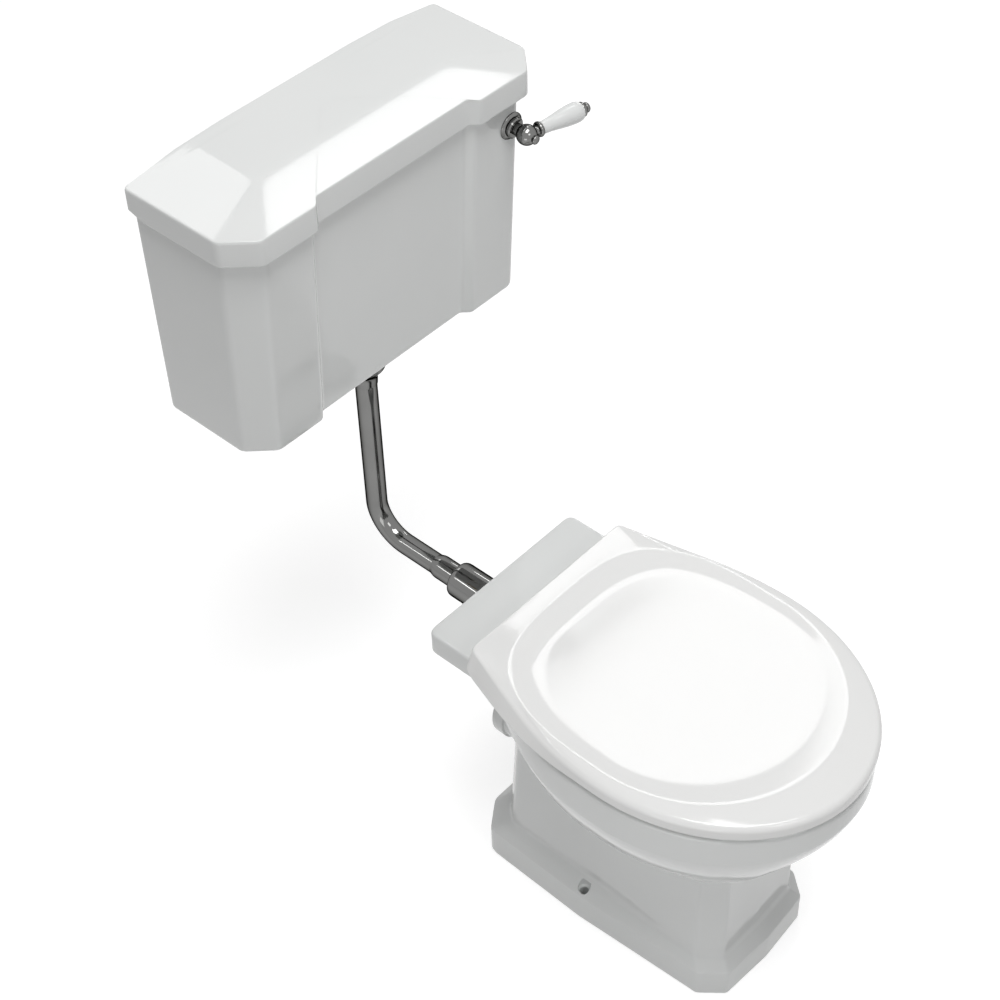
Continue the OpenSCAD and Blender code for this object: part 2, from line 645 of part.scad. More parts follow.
// Rings of the lid's top from its edge to its middle, lowered by d
function lid_top_rings(d) = [
    raised(inset_line(lid_edge, 7), lid_edge_z + 2.5, d),
    raised(between(crease, inset_line(lid_edge, 7), 0.5), lid_edge_z + 6.5, d),
    raised(crease, lid_edge_z + 8.5, d),
    raised(between(dish, crease, 0.85), lid_edge_z + 7.4, d),
    raised(between(dish, crease, 0.45), lid_edge_z + 6.2, d),
    level(dish, rise_to_hinge(mid_y + 30, lid_edge_z + 6, d))];
function backwards(list) = [for (i = [len(list) - 1:-1:0]) list[i]];

lug_w = 11;
ring_lug_x = hinge_spacing / 2 - post_r - 1 - lug_w;
lid_lug_x = hinge_spacing / 2 + post_r + 1;

// Hinge lug beside a post, with a web that reaches from its axis to the part that carries it
module hinge_lugs(x, web_from, web_to, web_low, web_high) {
    for (side = [0, 1]) mirror([side, 0, 0]) {
        translate([x, hinge_y, hinge_z]) rotate([0, 90, 0]) cylinder(h = lug_w, r = lug_r);
        translate([x, web_from, web_low]) cube([lug_w, web_to - web_from, web_high - web_low]);
    }
}
module hinge_bore() {
    translate([-lid_w / 2, hinge_y, hinge_z]) rotate([0, 90, 0]) cylinder(h = lid_w, r = hinge_pin_r + fit_gap);
}

module seat_lid() color("white") difference() {
    union() {
        skin(concat(backwards(lid_top_rings(lid_t)), [
            skirt(inset_line(lid_base, lid_t)),
            skirt(inset_line(lid_base, 1)),
            skirt(lid_base, 1.5),
            [for (i = [0:len(lid_base) - 1]) let (p = between([lid_edge[i]], [lid_base[i]], 0.2)[0])
                [p.x, p.y, rise_to_hinge(p.y, lid_edge_z, 5)]],
            raised(inset_line(lid_edge, 2), lid_edge_z, 0.5)],
            lid_top_rings(0)));
        hinge_lugs(lid_lug_x, hinge_y - lug_r, hinge_y + lug_r, hinge_z, lid_rear_z - lid_t + 1);
    }
    hinge_bore();
    for (side = [0, 1]) mirror([side, 0, 0]) translate([ring_lug_x - loose_gap, hinge_y + 5, shelf_z - 5])
        cube([lid_lug_x - ring_lug_x + 2 * loose_gap, 20, hinge_z + 9 - shelf_z + 5]);
    for (p = lid_buffer_places)
        translate([p.x, p.y, ring_z + ring_t])
            cylinder(h = buffer_top_z - ring_z - ring_t, r = lid_buffer_r + fit_gap);
}

ring_back_y = hinge_y - lid_sweep_r - loose_gap;
ring_base = seat_outline(lid_w, lid_front_len, ring_back_y, base_draw_y);
ring_edge = seat_outline(lid_w, lid_front_len, ring_back_y, lid_draw_y);
ring_hole = oval_like(ring_base, opening_half_w - 23, opening_front + 15, opening_back - 26, 2.3);
ring_t = 15;

module seat_ring() color("white") difference() {
    union() {
        difference() {
            skin([
                level(ring_hole, ring_z + 5),
                level(between(ring_hole, ring_base, 0.06), ring_z),
                level(inset_line(ring_base, 3), ring_z),
                level(inset_line(ring_base, 2.5), ring_z + 2.4),
                level(inset_line(ring_edge, 8), ring_z + 3.2),
                level(inset_line(ring_edge, 8), ring_z + ring_t - 6),
                level(inset_line(ring_edge, 12), ring_z + ring_t - 2),
                level(between(ring_hole, inset_line(ring_edge, 12), 0.6), ring_z + ring_t),
                level(between(ring_hole, ring_edge, 0.25), ring_z + ring_t - 1.5),
                level(between(ring_hole, ring_edge, 0.04), ring_z + ring_t - 6)], looped = true);
            translate([-lid_w / 2, opening_back + 8, ring_z - 5]) cube([lid_w, 100, shelf_z + 2 - ring_z + 5]);
        }
        hinge_lugs(ring_lug_x, ring_back_y - 18, hinge_y, shelf_z + 3, ring_z + ring_t - 1);
    }
    hinge_bore();
}

buffer_r = 8;
// Places of the two front and the two back buffers
buffer_places = [[105, -232], [-105, -232], [158, -60], [-158, -60]];
module ring_buffers() color("dimgray") for (p = buffer_places)
    translate([p.x, p.y, rim_z + part_gap]) cylinder(h = ring_z - rim_z - part_gap, r = buffer_r);

lid_buffer_places = [[106, -214], [-106, -214], [146, -90], [-146, -90]];
lid_buffer_r = 6;
buffer_top_z = lid_edge_z + 4;
module lid_buffers() color("dimgray") for (p = lid_buffer_places)
    translate([p.x, p.y, ring_z + ring_t + part_gap])
        cylinder(h = buffer_top_z - ring_z - ring_t - part_gap, r = lid_buffer_r);

// Hinge

post_base_r = 7.5;
post_base_h = 3;
stud_below = 28;
module hinge_posts() color("silver") for (side = [-1, 1])
    translate([side * hinge_spacing / 2, hinge_y, 0]) difference() {
        union() {
            translate([0, 0, shelf_z]) cylinder(h = post_base_h, r = post_base_r);
            translate([0, 0, shelf_z]) cylinder(h = hinge_z - shelf_z, r = post_r);
            translate([0, 0, hinge_z]) sphere(r = post_r);
            translate([0, 0, shelf_z - shelf_t - stud_below]) cylinder(h = shelf_t + stud_below + 2, r = stud_r);
        }
        translate([-post_r - 1, 0, hinge_z]) rotate([0, 90, 0])
            cylinder(h = 2 * post_r + 2, r = hinge_pin_r + fit_gap);
    }

pin_half = lid_lug_x + lug_w + 2;
module hinge_pin() color("silver") translate([-pin_half, hinge_y, hinge_z]) rotate([0, 90, 0])
    cylinder(h = 2 * pin_half, r = hinge_pin_r);

washer_t = 3;
module hinge_washers() color("dimgray") for (side = [-1, 1])
    translate([side * hinge_spacing / 2, hinge_y, shelf_z - shelf_t - washer_t])
        washer(3 * stud_r, stud_r + fit_gap, washer_t);

wing_nut_h = 10;
wing_half = 19;
wing_t = 3;
wing_h = 7;
module hinge_wing_nuts() color("white") for (side = [-1, 1])
    translate([side * hinge_spacing / 2, hinge_y, shelf_z - shelf_t - washer_t - wing_nut_h]) difference() {
        union() {
            cylinder(h = wing_nut_h, r = 2 * stud_r);
            translate([-wing_half, -wing_t / 2, 0]) cube([2 * wing_half, wing_t, wing_h]);
        }
        translate([0, 0, -1]) cylinder(h = wing_nut_h + 2, r = stud_r + fit_gap);
    }

// Flush lever

rose_r = 17.5;
rose_t = 5;
bush_r = 9;
ball_r = 12.7;
ball_y = -25;
grip_yaw = 10;
gasket_t = 2;
back_nut_y = china_wall + gasket_t;
bush_end_y = 26;

module lever_rose() color("silver") on_lever()
    turned_y([[bush_r + 0.2, 0], [rose_r, 0], [rose_r, -1.2], [rose_r - 0.7, -2.4], [rose_r - 3, -3.8],
        [bush_r + 3, -rose_t], [bush_r + 0.2, -rose_t]]);

module lever_bush() color("silver") on_lever()
    turned_y([[spindle_r + fit_gap, -rose_t - 4], [bush_r + 2.5, -rose_t - 4], [bush_r + 4, -rose_t - 2.5],
        [bush_r + 4, -rose_t], [bush_r, -rose_t], [bush_r, bush_end_y], [spindle_r + fit_gap, bush_end_y]]);

module lever_gasket() color("dimgray") on_lever() translate([0, china_wall, 0]) rotate([-90, 0, 0])
    washer(lever_gasket_r, bush_r + fit_gap, gasket_t);

module lever_back_nut() color("gold") on_lever() translate([0, back_nut_y, 0]) rotate([-90, 0, 0])
    hex_nut(24, 7, bush_r + fit_gap);

arm_len = 112;
arm_rest = 12;
lever_swing = 2 * arm_rest;
arm_hub_y = 30;
arm_hub_w = 11;
eye_r = 8.5;
eye_hole_r = 5.2;
eye_w = 4;
spindle_end_y = arm_hub_y + arm_hub_w + 4;

// Inner arm's eye in the lever's own frame, placed so that it hangs over the siphon's line
eye_drop = -arm_len * sin(arm_rest);
eye_local = [-arm_len * cos(arm_rest), (pipe_y - lever_face_y + eye_drop * sin(front_lean)) / cos(front_lean),
    eye_drop];
eye_z = lever_z + eye_local.y * sin(front_lean) + eye_local.z * cos(front_lean);

module lever_spindle() color("gold") on_lever()
    translate([0, ball_y, 0]) rotate([-90, 0, 0]) cylinder(h = spindle_end_y - ball_y, r = spindle_r);

// Frame whose Z axis runs out along the handle
module along_grip() {
    on_lever() translate([0, ball_y, 0]) rotate([0, 0, -grip_yaw]) rotate([0, 90, 0]) children();
}

grip_stud_r = 3;
module lever_ball() color("silver") difference() {
    on_lever() translate([0, ball_y, 0]) {
        sphere(r = ball_r);
        turned_y([[0, 0], [7.5, 0], [7.5, -rose_t - 4 - part_gap - ball_y], [0, -rose_t - 4 - part_gap - ball_y]]);
        turned_y([[0, -16.5], [4, -16.3], [5.3, -15.3], [5.7, -14], [5.2, -12.6], [4.4, -11.5], [0, -11]]);
    }
    on_lever() translate([0, ball_y, 0]) rotate([-90, 0, 0]) cylinder(h = 40, r = spindle_r + fit_gap);
    along_grip() cylinder(h = ball_r + 2, r = grip_stud_r + fit_gap);
}

ferrule_z = ball_r;
grip_z = ferrule_z + 8;
grip_len = lever_len - grip_z - 16;
tie_r = 2.5;
module lever_ferrule() color("silver") along_grip() difference() {
    rotate_extrude() polygon([[0, spindle_r + 1], [grip_stud_r, spindle_r + 1], [grip_stud_r, ferrule_z],
        [5, ferrule_z], [5.2, ferrule_z + 2], [8.6, ferrule_z + 3], [9.5, ferrule_z + 4.2], [9.5, ferrule_z + 6],
        [8.8, ferrule_z + 7.4], [8, grip_z], [0, grip_z]]);
    translate([0, 0, ferrule_z + 1]) cylinder(h = 20, r = tie_r + fit_gap);
}

// Grip radius at a share s of its length: a slow swelling, then a round end
function grip_radius(s) =
    s < 0.78 ? 7.8 + 4.7 * pow(sin(90 * s / 0.78), 2) : 6.5 + 6 * sqrt(1 - pow((s - 0.78) / 0.22, 2));
module lever_grip() color("white") along_grip() translate([0, 0, grip_z]) difference() {
    rotate_extrude()
        polygon(concat([[0, 0]], [for (i = [0:20]) [grip_radius(i / 20), grip_len * i / 20]], [[0, grip_len]]));
    translate([0, 0, -1]) cylinder(h = grip_len + 2, r = tie_r + fit_gap);
}

module lever_finial() color("silver") along_grip() {
    z = grip_z + grip_len;
    rotate_extrude() polygon([[0, z], [6.3, z], [7, z + 1], [7, z + 2.6], [6, z + 4.4], [3.4, z + 5.4],
        [3, z + 7.5], [0, z + 7.5]]);
    translate([0, 0, lever_len - 4.6]) sphere(r = 4.6);
    translate([0, 0, ferrule_z + 2]) cylinder(h = z - ferrule_z, r = tie_r);
}

// Rod from one point to another
module rod(a, b, r) {
    v = b - a;
    translate(a) rotate([0, acos(v.z / norm(v)), atan2(v.y, v.x)]) cylinder(h = norm(v), r = r);
}

arm_screw_r = 2;
module lever_arm() color("gold") on_lever() difference() {
    root = [-6, arm_hub_y + arm_hub_w / 2, -1];
    union() {
        translate([0, arm_hub_y, 0]) rotate([-90, 0, 0]) cylinder(h = arm_hub_w, r = 9);
        rod(root, eye_local + unit(root - eye_local) * (eye_hole_r + 1.5), 3);
        translate([eye_local.x, eye_local.y - eye_w / 2, eye_local.z]) rotate([-90, 0, 0])
            cylinder(h = eye_w, r = eye_r);
    }
    translate([0, arm_hub_y - 1, 0]) rotate([-90, 0, 0]) cylinder(h = arm_hub_w + 2, r = spindle_r + fit_gap);
    translate([0, arm_hub_y + arm_hub_w / 2, 0]) cylinder(h = 12, r = arm_screw_r + fit_gap);
    translate([eye_local.x, eye_local.y - eye_w, eye_local.z]) rotate([-90, 0, 0])
        cylinder(h = 2 * eye_w, r = eye_hole_r);
}

module lever_arm_screw() color("silver") on_lever() translate([0, arm_hub_y + arm_hub_w / 2, 0]) {
    translate([0, 0, spindle_r + fit_gap]) cylinder(h = 5, r = arm_screw_r);
    translate([0, 0, 9]) cylinder(h = 3, r = 3.6);
}

// Siphon

siphon_x = lever_x - arm_len * (1 + cos(arm_rest)) / 2;
leg_r = 19;
leg_wall = 3;
bell_r = 33;
bell_z = cistern_bottom_z + cistern_floor_t + 13;
bell_h = 98;
crown_z = bell_z + bell_h + 24;
crown_r = siphon_x / 2;
siphon_gasket_t = 3;
siphon_seat_z = cistern_bottom_z + cistern_floor_t + siphon_gasket_t;
rod_r = 3;
gland_z = crown_z + sqrt(pow(crown_r + leg_r, 2) - crown_r * crown_r) + 7;
rod_eye_z = gland_z + 10;
wire_r = 1.6;

// Inverted U of the siphon: bell, cone, crown and downleg, drawn d inside its outer faces
module siphon_tube(d, below) {
    translate([siphon_x, pipe_y, 0]) rotate_extrude()
        polygon([[0, bell_z - below], [bell_r - d, bell_z - below], [bell_r - d, bell_z + bell_h - d / 2],
            [leg_r - d, crown_z], [0, crown_z]]);
    translate([crown_r, pipe_y, crown_z]) rotate([90, 0, 0]) rotate_extrude(angle = 180)
        translate([crown_r, 0]) circle(leg_r - d);
    translate([0, pipe_y, siphon_seat_z - below]) cylinder(h = crown_z - siphon_seat_z + below, r = leg_r - d);
}

module siphon_body() color("whitesmoke") difference() {
    union() {
        siphon_tube(0, 0);
        translate([0, pipe_y, siphon_seat_z]) cylinder(h = 5, r = 31);
        translate([0, pipe_y, siphon_tail_z]) cylinder(h = siphon_seat_z - siphon_tail_z + 1, r = siphon_tail_r);
        translate([siphon_x, pipe_y, gland_z - 9]) cylinder(h = 9, r = 7);
    }
    siphon_tube(leg_wall, 1);
    translate([0, pipe_y, siphon_tail_z - 1]) cylinder(h = 60, r = leg_r - leg_wall);
    translate([siphon_x, pipe_y, crown_z]) cylinder(h = 80, r = rod_r + fit_gap);
}

module siphon_gasket() color("dimgray") translate([0, pipe_y, cistern_bottom_z + cistern_floor_t])
    washer(33, siphon_tail_r + fit_gap, siphon_gasket_t);

siphon_nut_t = 14;
module siphon_back_nut() color("whitesmoke") translate([0, pipe_y, floor_under_z - siphon_nut_t])
    washer(34, siphon_tail_r + fit_gap, siphon_nut_t);

piston_z = bell_z + 8;
module siphon_piston() color("whitesmoke") translate([siphon_x, pipe_y, piston_z]) difference() {
    washer(bell_r - leg_wall - 0.5, rod_r + fit_gap, 3);
    for (a = [0:60:300]) rotate([0, 0, a]) translate([17, 0, -1]) cylinder(h = 5, r = 6);
}

module siphon_diaphragm() color("lightgray") translate([siphon_x, pipe_y, piston_z + 3])
    washer(bell_r - leg_wall - 0.5, rod_r + fit_gap, 1);

module lift_rod() color("gray") translate([siphon_x, pipe_y, 0]) difference() {
    union() {
        translate([0, 0, piston_z - 3]) cylinder(h = rod_eye_z - piston_z - 2, r = rod_r);
        translate([0, 0, piston_z - 3]) cylinder(h = 3, r = 6);
        translate([0, 1.5, rod_eye_z]) rotate([90, 0, 0]) cylinder(h = 3, r = 6);
    }
    translate([0, 5, rod_eye_z]) rotate([90, 0, 0]) cylinder(h = 10, r = wire_r + 0.2);
}

module lift_hook() color("gold") translate([siphon_x, pipe_y, 0]) {
    half = 7.5;
    corners = [[0, -half, rod_eye_z], [0, half, rod_eye_z], [0, half, eye_z], [0, -half, eye_z]];
    for (i = [0:3]) {
        rod(corners[i], corners[(i + 1) % 4], wire_r);
        translate(corners[i]) sphere(r = wire_r);
    }
}

// Fill valve and float

valve_gasket_t = 2.5;
valve_seat_z = cistern_bottom_z + cistern_floor_t + valve_gasket_t;
valve_tail_r = 10.5;
valve_shank_r = 11;
valve_tail_z = cistern_bottom_z - 31.8;
valve_tail_len = 22;
valve_stem_r = 10;
head_z = 895;
head_r = 11;
head_len = 31;
plunger_r = 5;
pivot = [valve_x + 32, head_z - 15];
pivot_r = 2;
ear_gap = 6.5;

module fill_valve_body() color("whitesmoke") difference() {
    union() {
        translate([valve_x, pipe_y, valve_tail_z]) cylinder(h = valve_tail_len, r = valve_tail_r);
        translate([valve_x, pipe_y, valve_tail_z + valve_tail_len])
            cylinder(h = valve_seat_z - valve_tail_z - valve_tail_len + 1, r = valve_shank_r);
        translate([valve_x, pipe_y, valve_seat_z]) cylinder(h = 5, r = 17);
        translate([valve_x, pipe_y, valve_seat_z]) cylinder(h = head_z - valve_seat_z, r = valve_stem_r);
        translate([valve_x - 13, pipe_y, head_z]) rotate([0, 90, 0]) cylinder(h = head_len, r = head_r);
        for (side = [-1, 1])
            translate([valve_x + 10, pipe_y + (side > 0 ? ear_gap : -ear_gap - 3), pivot[1] - 6])
                cube([28, 3, head_z - pivot[1] + 10]);
    }
    translate([valve_x - 4, pipe_y, head_z]) rotate([0, 90, 0]) cylinder(h = 30, r = plunger_r + fit_gap);
    translate([pivot[0], pipe_y - 20, pivot[1]]) rotate([-90, 0, 0]) cylinder(h = 40, r = pivot_r);
    translate([valve_x, pipe_y, valve_tail_z - 1]) cylinder(h = head_z - valve_tail_z - 19, r = valve_stem_r - 4);
}

module fill_valve_gasket() color("dimgray") translate([valve_x, pipe_y, cistern_bottom_z + cistern_floor_t])
    washer(18, valve_shank_r + fit_gap, valve_gasket_t);

module fill_valve_back_nut() color("gold") translate([valve_x, pipe_y, floor_under_z - 10])
    hex_nut(30, 10, valve_shank_r + fit_gap);

module valve_plunger() color("silver") translate([valve_x + 2, pipe_y, head_z]) rotate([0, 90, 0])
    cylinder(h = pivot[0] - 4 - valve_x - 2, r = plunger_r);

module float_pivot_pin() color("gold") translate([pivot[0], pipe_y - 12, pivot[1]]) rotate([-90, 0, 0])
    cylinder(h = 24, r = pivot_r);

float_x = valve_x + 115;
float_z = head_z - 27;
module float_arm() color("gold") difference() {
    union() {
        translate([pivot[0], pipe_y - 6, pivot[1]]) rotate([-90, 0, 0]) cylinder(h = 12, r = 6);
        translate([pivot[0] - 3.5, pipe_y - 4, pivot[1]]) cube([4, 8, head_z - pivot[1] + 5]);
        rod([pivot[0] + 3, pipe_y, pivot[1]], [float_x - float_r + 6, pipe_y, float_z + 3], 2.5);
    }
    translate([pivot[0], pipe_y - 8, pivot[1]]) rotate([-90, 0, 0]) cylinder(h = 16, r = pivot_r + fit_gap);
}

module float_ball() color("orangered") difference() {
    translate([float_x, pipe_y, float_z]) sphere(r = float_r);
    rod([pivot[0] + 3, pipe_y, pivot[1]], [float_x - float_r + 6, pipe_y, float_z + 3], 2.5 + fit_gap);
}

pan();
cistern_body();
cistern_lid();
flush_pipe();
flush_pipe_nut();
pan_inlet_cup();
flush_cone();
seat_ring();
ring_buffers();
seat_lid();
lid_buffers();
hinge_posts();
hinge_pin();
hinge_washers();
hinge_wing_nuts();
lever_rose();
lever_bush();
lever_gasket();
lever_back_nut();
lever_spindle();
lever_ball();
lever_ferrule();
lever_grip();
lever_finial();
lever_arm();
lever_arm_screw();
siphon_body();
siphon_gasket();
siphon_back_nut();
lift_hook();
lift_rod();
siphon_piston();
siphon_diaphragm();
fill_valve_body();
fill_valve_gasket();
fill_valve_back_nut();
valve_plunger();
float_pivot_pin();
float_arm();
float_ball();
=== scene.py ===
"""Low level toilet: glazed china pan and cistern, moulded seat, chrome flush pipe and side lever.

Sizes are millimetres in the part's own frame (+X right, +Y back to the wall, +Z up) until a mesh
is made, which turns them to metres. A ring is an array of points, anticlockwise seen from above or
from the tip of the axis it goes round, and a shape is a stack of rings.
"""

import math

import bmesh
import bpy
import numpy as np
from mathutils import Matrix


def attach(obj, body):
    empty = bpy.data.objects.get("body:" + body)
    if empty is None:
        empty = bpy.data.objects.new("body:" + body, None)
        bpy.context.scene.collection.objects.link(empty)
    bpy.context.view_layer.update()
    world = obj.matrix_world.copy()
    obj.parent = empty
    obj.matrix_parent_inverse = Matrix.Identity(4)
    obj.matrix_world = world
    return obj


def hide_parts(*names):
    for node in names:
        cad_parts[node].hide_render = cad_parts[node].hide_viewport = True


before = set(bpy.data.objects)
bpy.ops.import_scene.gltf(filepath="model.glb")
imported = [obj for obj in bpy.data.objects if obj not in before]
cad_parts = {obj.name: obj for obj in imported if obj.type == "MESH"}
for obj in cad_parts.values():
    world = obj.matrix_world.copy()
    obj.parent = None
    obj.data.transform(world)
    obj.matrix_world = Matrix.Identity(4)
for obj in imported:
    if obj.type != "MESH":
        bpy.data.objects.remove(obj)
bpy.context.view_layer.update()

# Sizes shared with the part
RIM_Z = 409.0
MID_Y = -82.0
RIM_W = 372.0
RIM_FRONT = 231.0
RIM_TAPER = {"start": -53.0, "rate": 0.0021}
SHELF_Z = 416.0
SHELF_T = 35.7
SHELF_BACK = 224.8
SHELF_HALF = 132.0
HINGE_Y = 134.0
HINGE_Z = SHELF_Z + 16.5
LID_W = 376.4
LID_FRONT = 233.4
LID_EDGE_Z = 431.0
LID_REAR_Z = 446.0
LID_WALL = 4.0
LID_BACK = HINGE_Y + 14.3
NOTCH = (58.0, 86.0)
WALL_Y = 530.0
BODY_BOTTOM = 665.8
BODY_TOP = 962.2
PIPE_Y = 442.4
INLET_Z = 349.0
WASTE_Z = 187.0
FIXING_X = 100.0
BACK = (0, 1, 0)
UP = (0, 0, 1)


# Rings and outlines

def length(vectors):
    """Length of each vector along the last axis."""
    return np.linalg.norm(vectors, axis=-1, keepdims=True)


def level(outline, z):
    """Outline (n, 2) lifted to height z, a number or one for each point."""
    return np.column_stack([outline, np.broadcast_to(z, len(outline))])


def between(inner, outer, share):
    """Ring or point a share of the way from inner to outer: inner + (outer - inner) share."""
    return inner + (outer - inner) * share


def corner_curve(before, point, after, cut, steps):
    """Quadratic curve that rounds a corner p: a(1-t)^2 + 2pt(1-t) + bt^2.

    Its ends a and b lie cut from p on the way to before and after, or half way where cut is more.
    """
    t = np.linspace(0, 1, steps + 1).reshape((-1,) + (1,) * np.ndim(point))
    back, on = before - point, after - point
    start = point + back * np.minimum(cut / np.maximum(length(back), 1e-6), 0.5)
    end = point + on * np.minimum(cut / np.maximum(length(on), 1e-6), 0.5)
    return start * (1 - t) ** 2 + 2 * point * t * (1 - t) + end * t ** 2


def soften(rings, cuts, steps=5):
    """Stack of rings whose profile corner_curve rounds at each inner ring with that ring's cut."""
    stack = [rings[:1]]
    for before, ring, after, cut in zip(rings[:-2], rings[1:-1], rings[2:], cuts):
        stack.append(corner_curve(before, ring, after, cut, steps) if cut else ring[None])
    return np.concatenate(stack + [rings[-1:]])


def mirrored(half):
    """Whole outline from its right-hand half, which runs from the front point to the back point."""
    return np.concatenate([half, half[-2:0:-1] * [-1, 1]])


def inset(outline, d):
    """Outline moved inwards by d along the normal of the chord between each point's neighbours."""
    chord = np.roll(outline, -1, axis=0) - np.roll(outline, 1, axis=0)
    return outline + d * np.column_stack([-chord[:, 1], chord[:, 0]]) / length(chord)


DRAW_CURVE = 122.0
PAIR_GAP = 0.05


def draw_in(y, start, rate):
    """Sideways draw of the edge at d behind start: rate d^2 as far as DRAW_CURVE, then straight."""
    d = np.maximum(0, y - start)
    curved = np.minimum(d, DRAW_CURVE)
    return rate * curved ** 2 + 2 * rate * DRAW_CURVE * (d - curved)


def seat_outline(width, nose, back, start, rate=0.0013, corner=8.0):
    """Half an ellipse in front of MID_Y, sides drawn in behind start, and a straight back.

    The ellipse is as long as nose and the back corners are rounded by corner. The back has points
    in pairs, PAIR_GAP apart, at the sides of the lid's notches.
    """
    half = width / 2
    around = np.linspace(0, np.pi / 2, 96, endpoint=False)
    ellipse = np.column_stack([half * np.sin(around), MID_Y - nose * np.cos(around)])
    turn_y = back - corner
    y = np.linspace(MID_Y, turn_y, 60, endpoint=False)
    side = np.column_stack([half - draw_in(y, start, rate), y])
    point = np.array([half - draw_in(back, start, rate), back])
    before = 2 * np.array([half - draw_in(turn_y, start, rate), turn_y]) - point
    turn = corner_curve(before, point, np.array([0, back]), corner, 14)
    rear_x = np.concatenate([np.linspace(turn[-1][0], NOTCH[1], 5)[1:],
                             np.linspace(NOTCH[1] - PAIR_GAP, NOTCH[0], 7),
                             np.linspace(NOTCH[0] - PAIR_GAP, 0, 12)])
    rear = np.column_stack([rear_x, np.full(len(rear_x), back)])
    return mirrored(np.concatenate([ellipse, side, turn, rear]))


def circle(count, centre_y, radius):
    """Circle of count points about (0, centre_y)."""
    t = np.linspace(0, np.pi, count // 2 + 1)
    return mirrored(np.column_stack([radius * np.sin(t), centre_y - radius * np.cos(t)]))


def oval(count, half_width, front_y, back_y, square):
    """Oval of count points about MID_Y: x = a sin(t)^q, y = MID_Y - b cos(t)^q.

    q is 1 in front of MID_Y and 2 / square behind it, where a larger square gives fuller corners.
    """
    t = np.linspace(0, np.pi, count // 2 + 1)
    ahead = t < np.pi / 2
    q = np.where(ahead, 1.0, 2 / square)
    reach_y = np.where(ahead, MID_Y - front_y, back_y - MID_Y)
    x = half_width * np.abs(np.sin(t)) ** q
    x[-1] = 0
    y = MID_Y - np.sign(np.cos(t)) * reach_y * np.abs(np.cos(t)) ** q
    return mirrored(np.column_stack([x, y]))


def rounded_polygon(corners, steps=8, runs=6):
    """Outline through corners (x, y, cut), rounded by their cuts, with runs points on each side."""
    corners = np.asarray(corners, float)
    points, cuts = corners[:, :2], corners[:, 2]
    turns = [corner_curve(points[i - 1], points[i], points[(i + 1) % len(points)], cuts[i], steps)
             for i in range(len(points))]
    outline = []
    for here, following in zip(turns, turns[1:] + turns[:1]):
        share = np.linspace(0, 1, runs + 2)[1:-1, None]
        outline += [here, between(here[-1], following[0], share)]
    return np.concatenate(outline)


def rectangle(x, y, front_cut, back_cut):
    """Rectangle with sides at the two x and the two y, rounded at its front and back corners."""
    return rounded_polygon([[x[0], y[0], front_cut], [x[1], y[0], front_cut],
                            [x[1], y[1], back_cut], [x[0], y[1], back_cut]])


def turned(profile, origin, axis, cuts=None, sides=80):
    """Turned shape: each profile point (radius, height) swept round the axis through origin."""
    axis = np.asarray(axis, float) / np.linalg.norm(axis)
    across = np.cross(axis, [0, 0, 1.0] if abs(axis[2]) < 0.9 else [1.0, 0, 0])
    across /= np.linalg.norm(across)
    angle = np.linspace(0, 2 * np.pi, sides, endpoint=False)[:, None]
    spoke = np.cos(angle) * across + np.sin(angle) * np.cross(axis, across)
    profile = np.asarray(profile, float)[:, None, :]
    rings = np.asarray(origin) + profile[..., :1] * spoke + profile[..., 1:] * axis
    return rings if cuts is None else soften(rings, cuts)


# Meshes

MM_PER_M = 1000
MERGE_WITHIN = 1e-6
SHARP_ANGLE = math.radians(35)


def shell(rings, closed=True):
    """Points and faces of a stack of rings: four-sided ones between them, and ends if closed."""
    rows, count = rings.shape[:2]
    first = (np.arange(rows - 1)[:, None] * count + np.arange(count)).ravel()
    following = (np.arange(rows - 1)[:, None] * count + (np.arange(count) + 1) % count).ravel()
    faces = np.column_stack([first, following, following + count, first + count]).tolist()
    if closed:
        faces.append(list(range(count))[::-1])
        faces.append(list(range((rows - 1) * count, rows * count)))
    return rings.reshape(-1, 3), faces


def mesh_of(name, shells):
    """Mesh in metres of one or more shells, whose equal points are merged."""
    points, faces, offset = [], [], 0
    for shell_points, shell_faces in shells:
        points.append(shell_points)
        faces += [[index + offset for index in face] for face in shell_faces]
        offset += len(shell_points)
    mesh = bpy.data.meshes.new(name)
    mesh.from_pydata(np.concatenate(points) / MM_PER_M, [], faces)
    work = bmesh.new()
    work.from_mesh(mesh)
    bmesh.ops.remove_doubles(work, verts=work.verts, dist=MERGE_WITHIN)
    work.to_mesh(mesh)
    work.free()
    return mesh


def carved(name, shells, cutters):
    """Mesh of the shells with the cutters' space taken out of them."""
    solid, tool = (bpy.data.objects.new(name, mesh_of(name, part)) for part in (shells, cutters))
    bpy.context.scene.collection.objects.link(solid)
    bpy.context.scene.collection.objects.link(tool)
    difference = solid.modifiers.new("cut", "BOOLEAN")
    difference.operation = "DIFFERENCE"
    difference.solver = "EXACT"
    difference.object = tool
    seen = solid.evaluated_get(bpy.context.evaluated_depsgraph_get())
    mesh = bpy.data.meshes.new_from_object(seen)
    bpy.data.objects.remove(solid)
    bpy.data.objects.remove(tool)
    return mesh


def piece(name, body, material, mesh, nodes):
    """Makes the object of a mesh or a list of shells, riding on body and standing for CAD nodes."""
    if isinstance(mesh, list):
        mesh = mesh_of(name, mesh)
    mesh.name = name
    mesh.shade_smooth()
    mesh.set_sharp_from_angle(angle=SHARP_ANGLE)
    mesh.materials.clear()
    mesh.materials.append(material)
    made = bpy.data.objects.new(name, mesh)
    bpy.context.scene.collection.objects.link(made)
    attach(made, body)
    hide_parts(*nodes)


# Materials

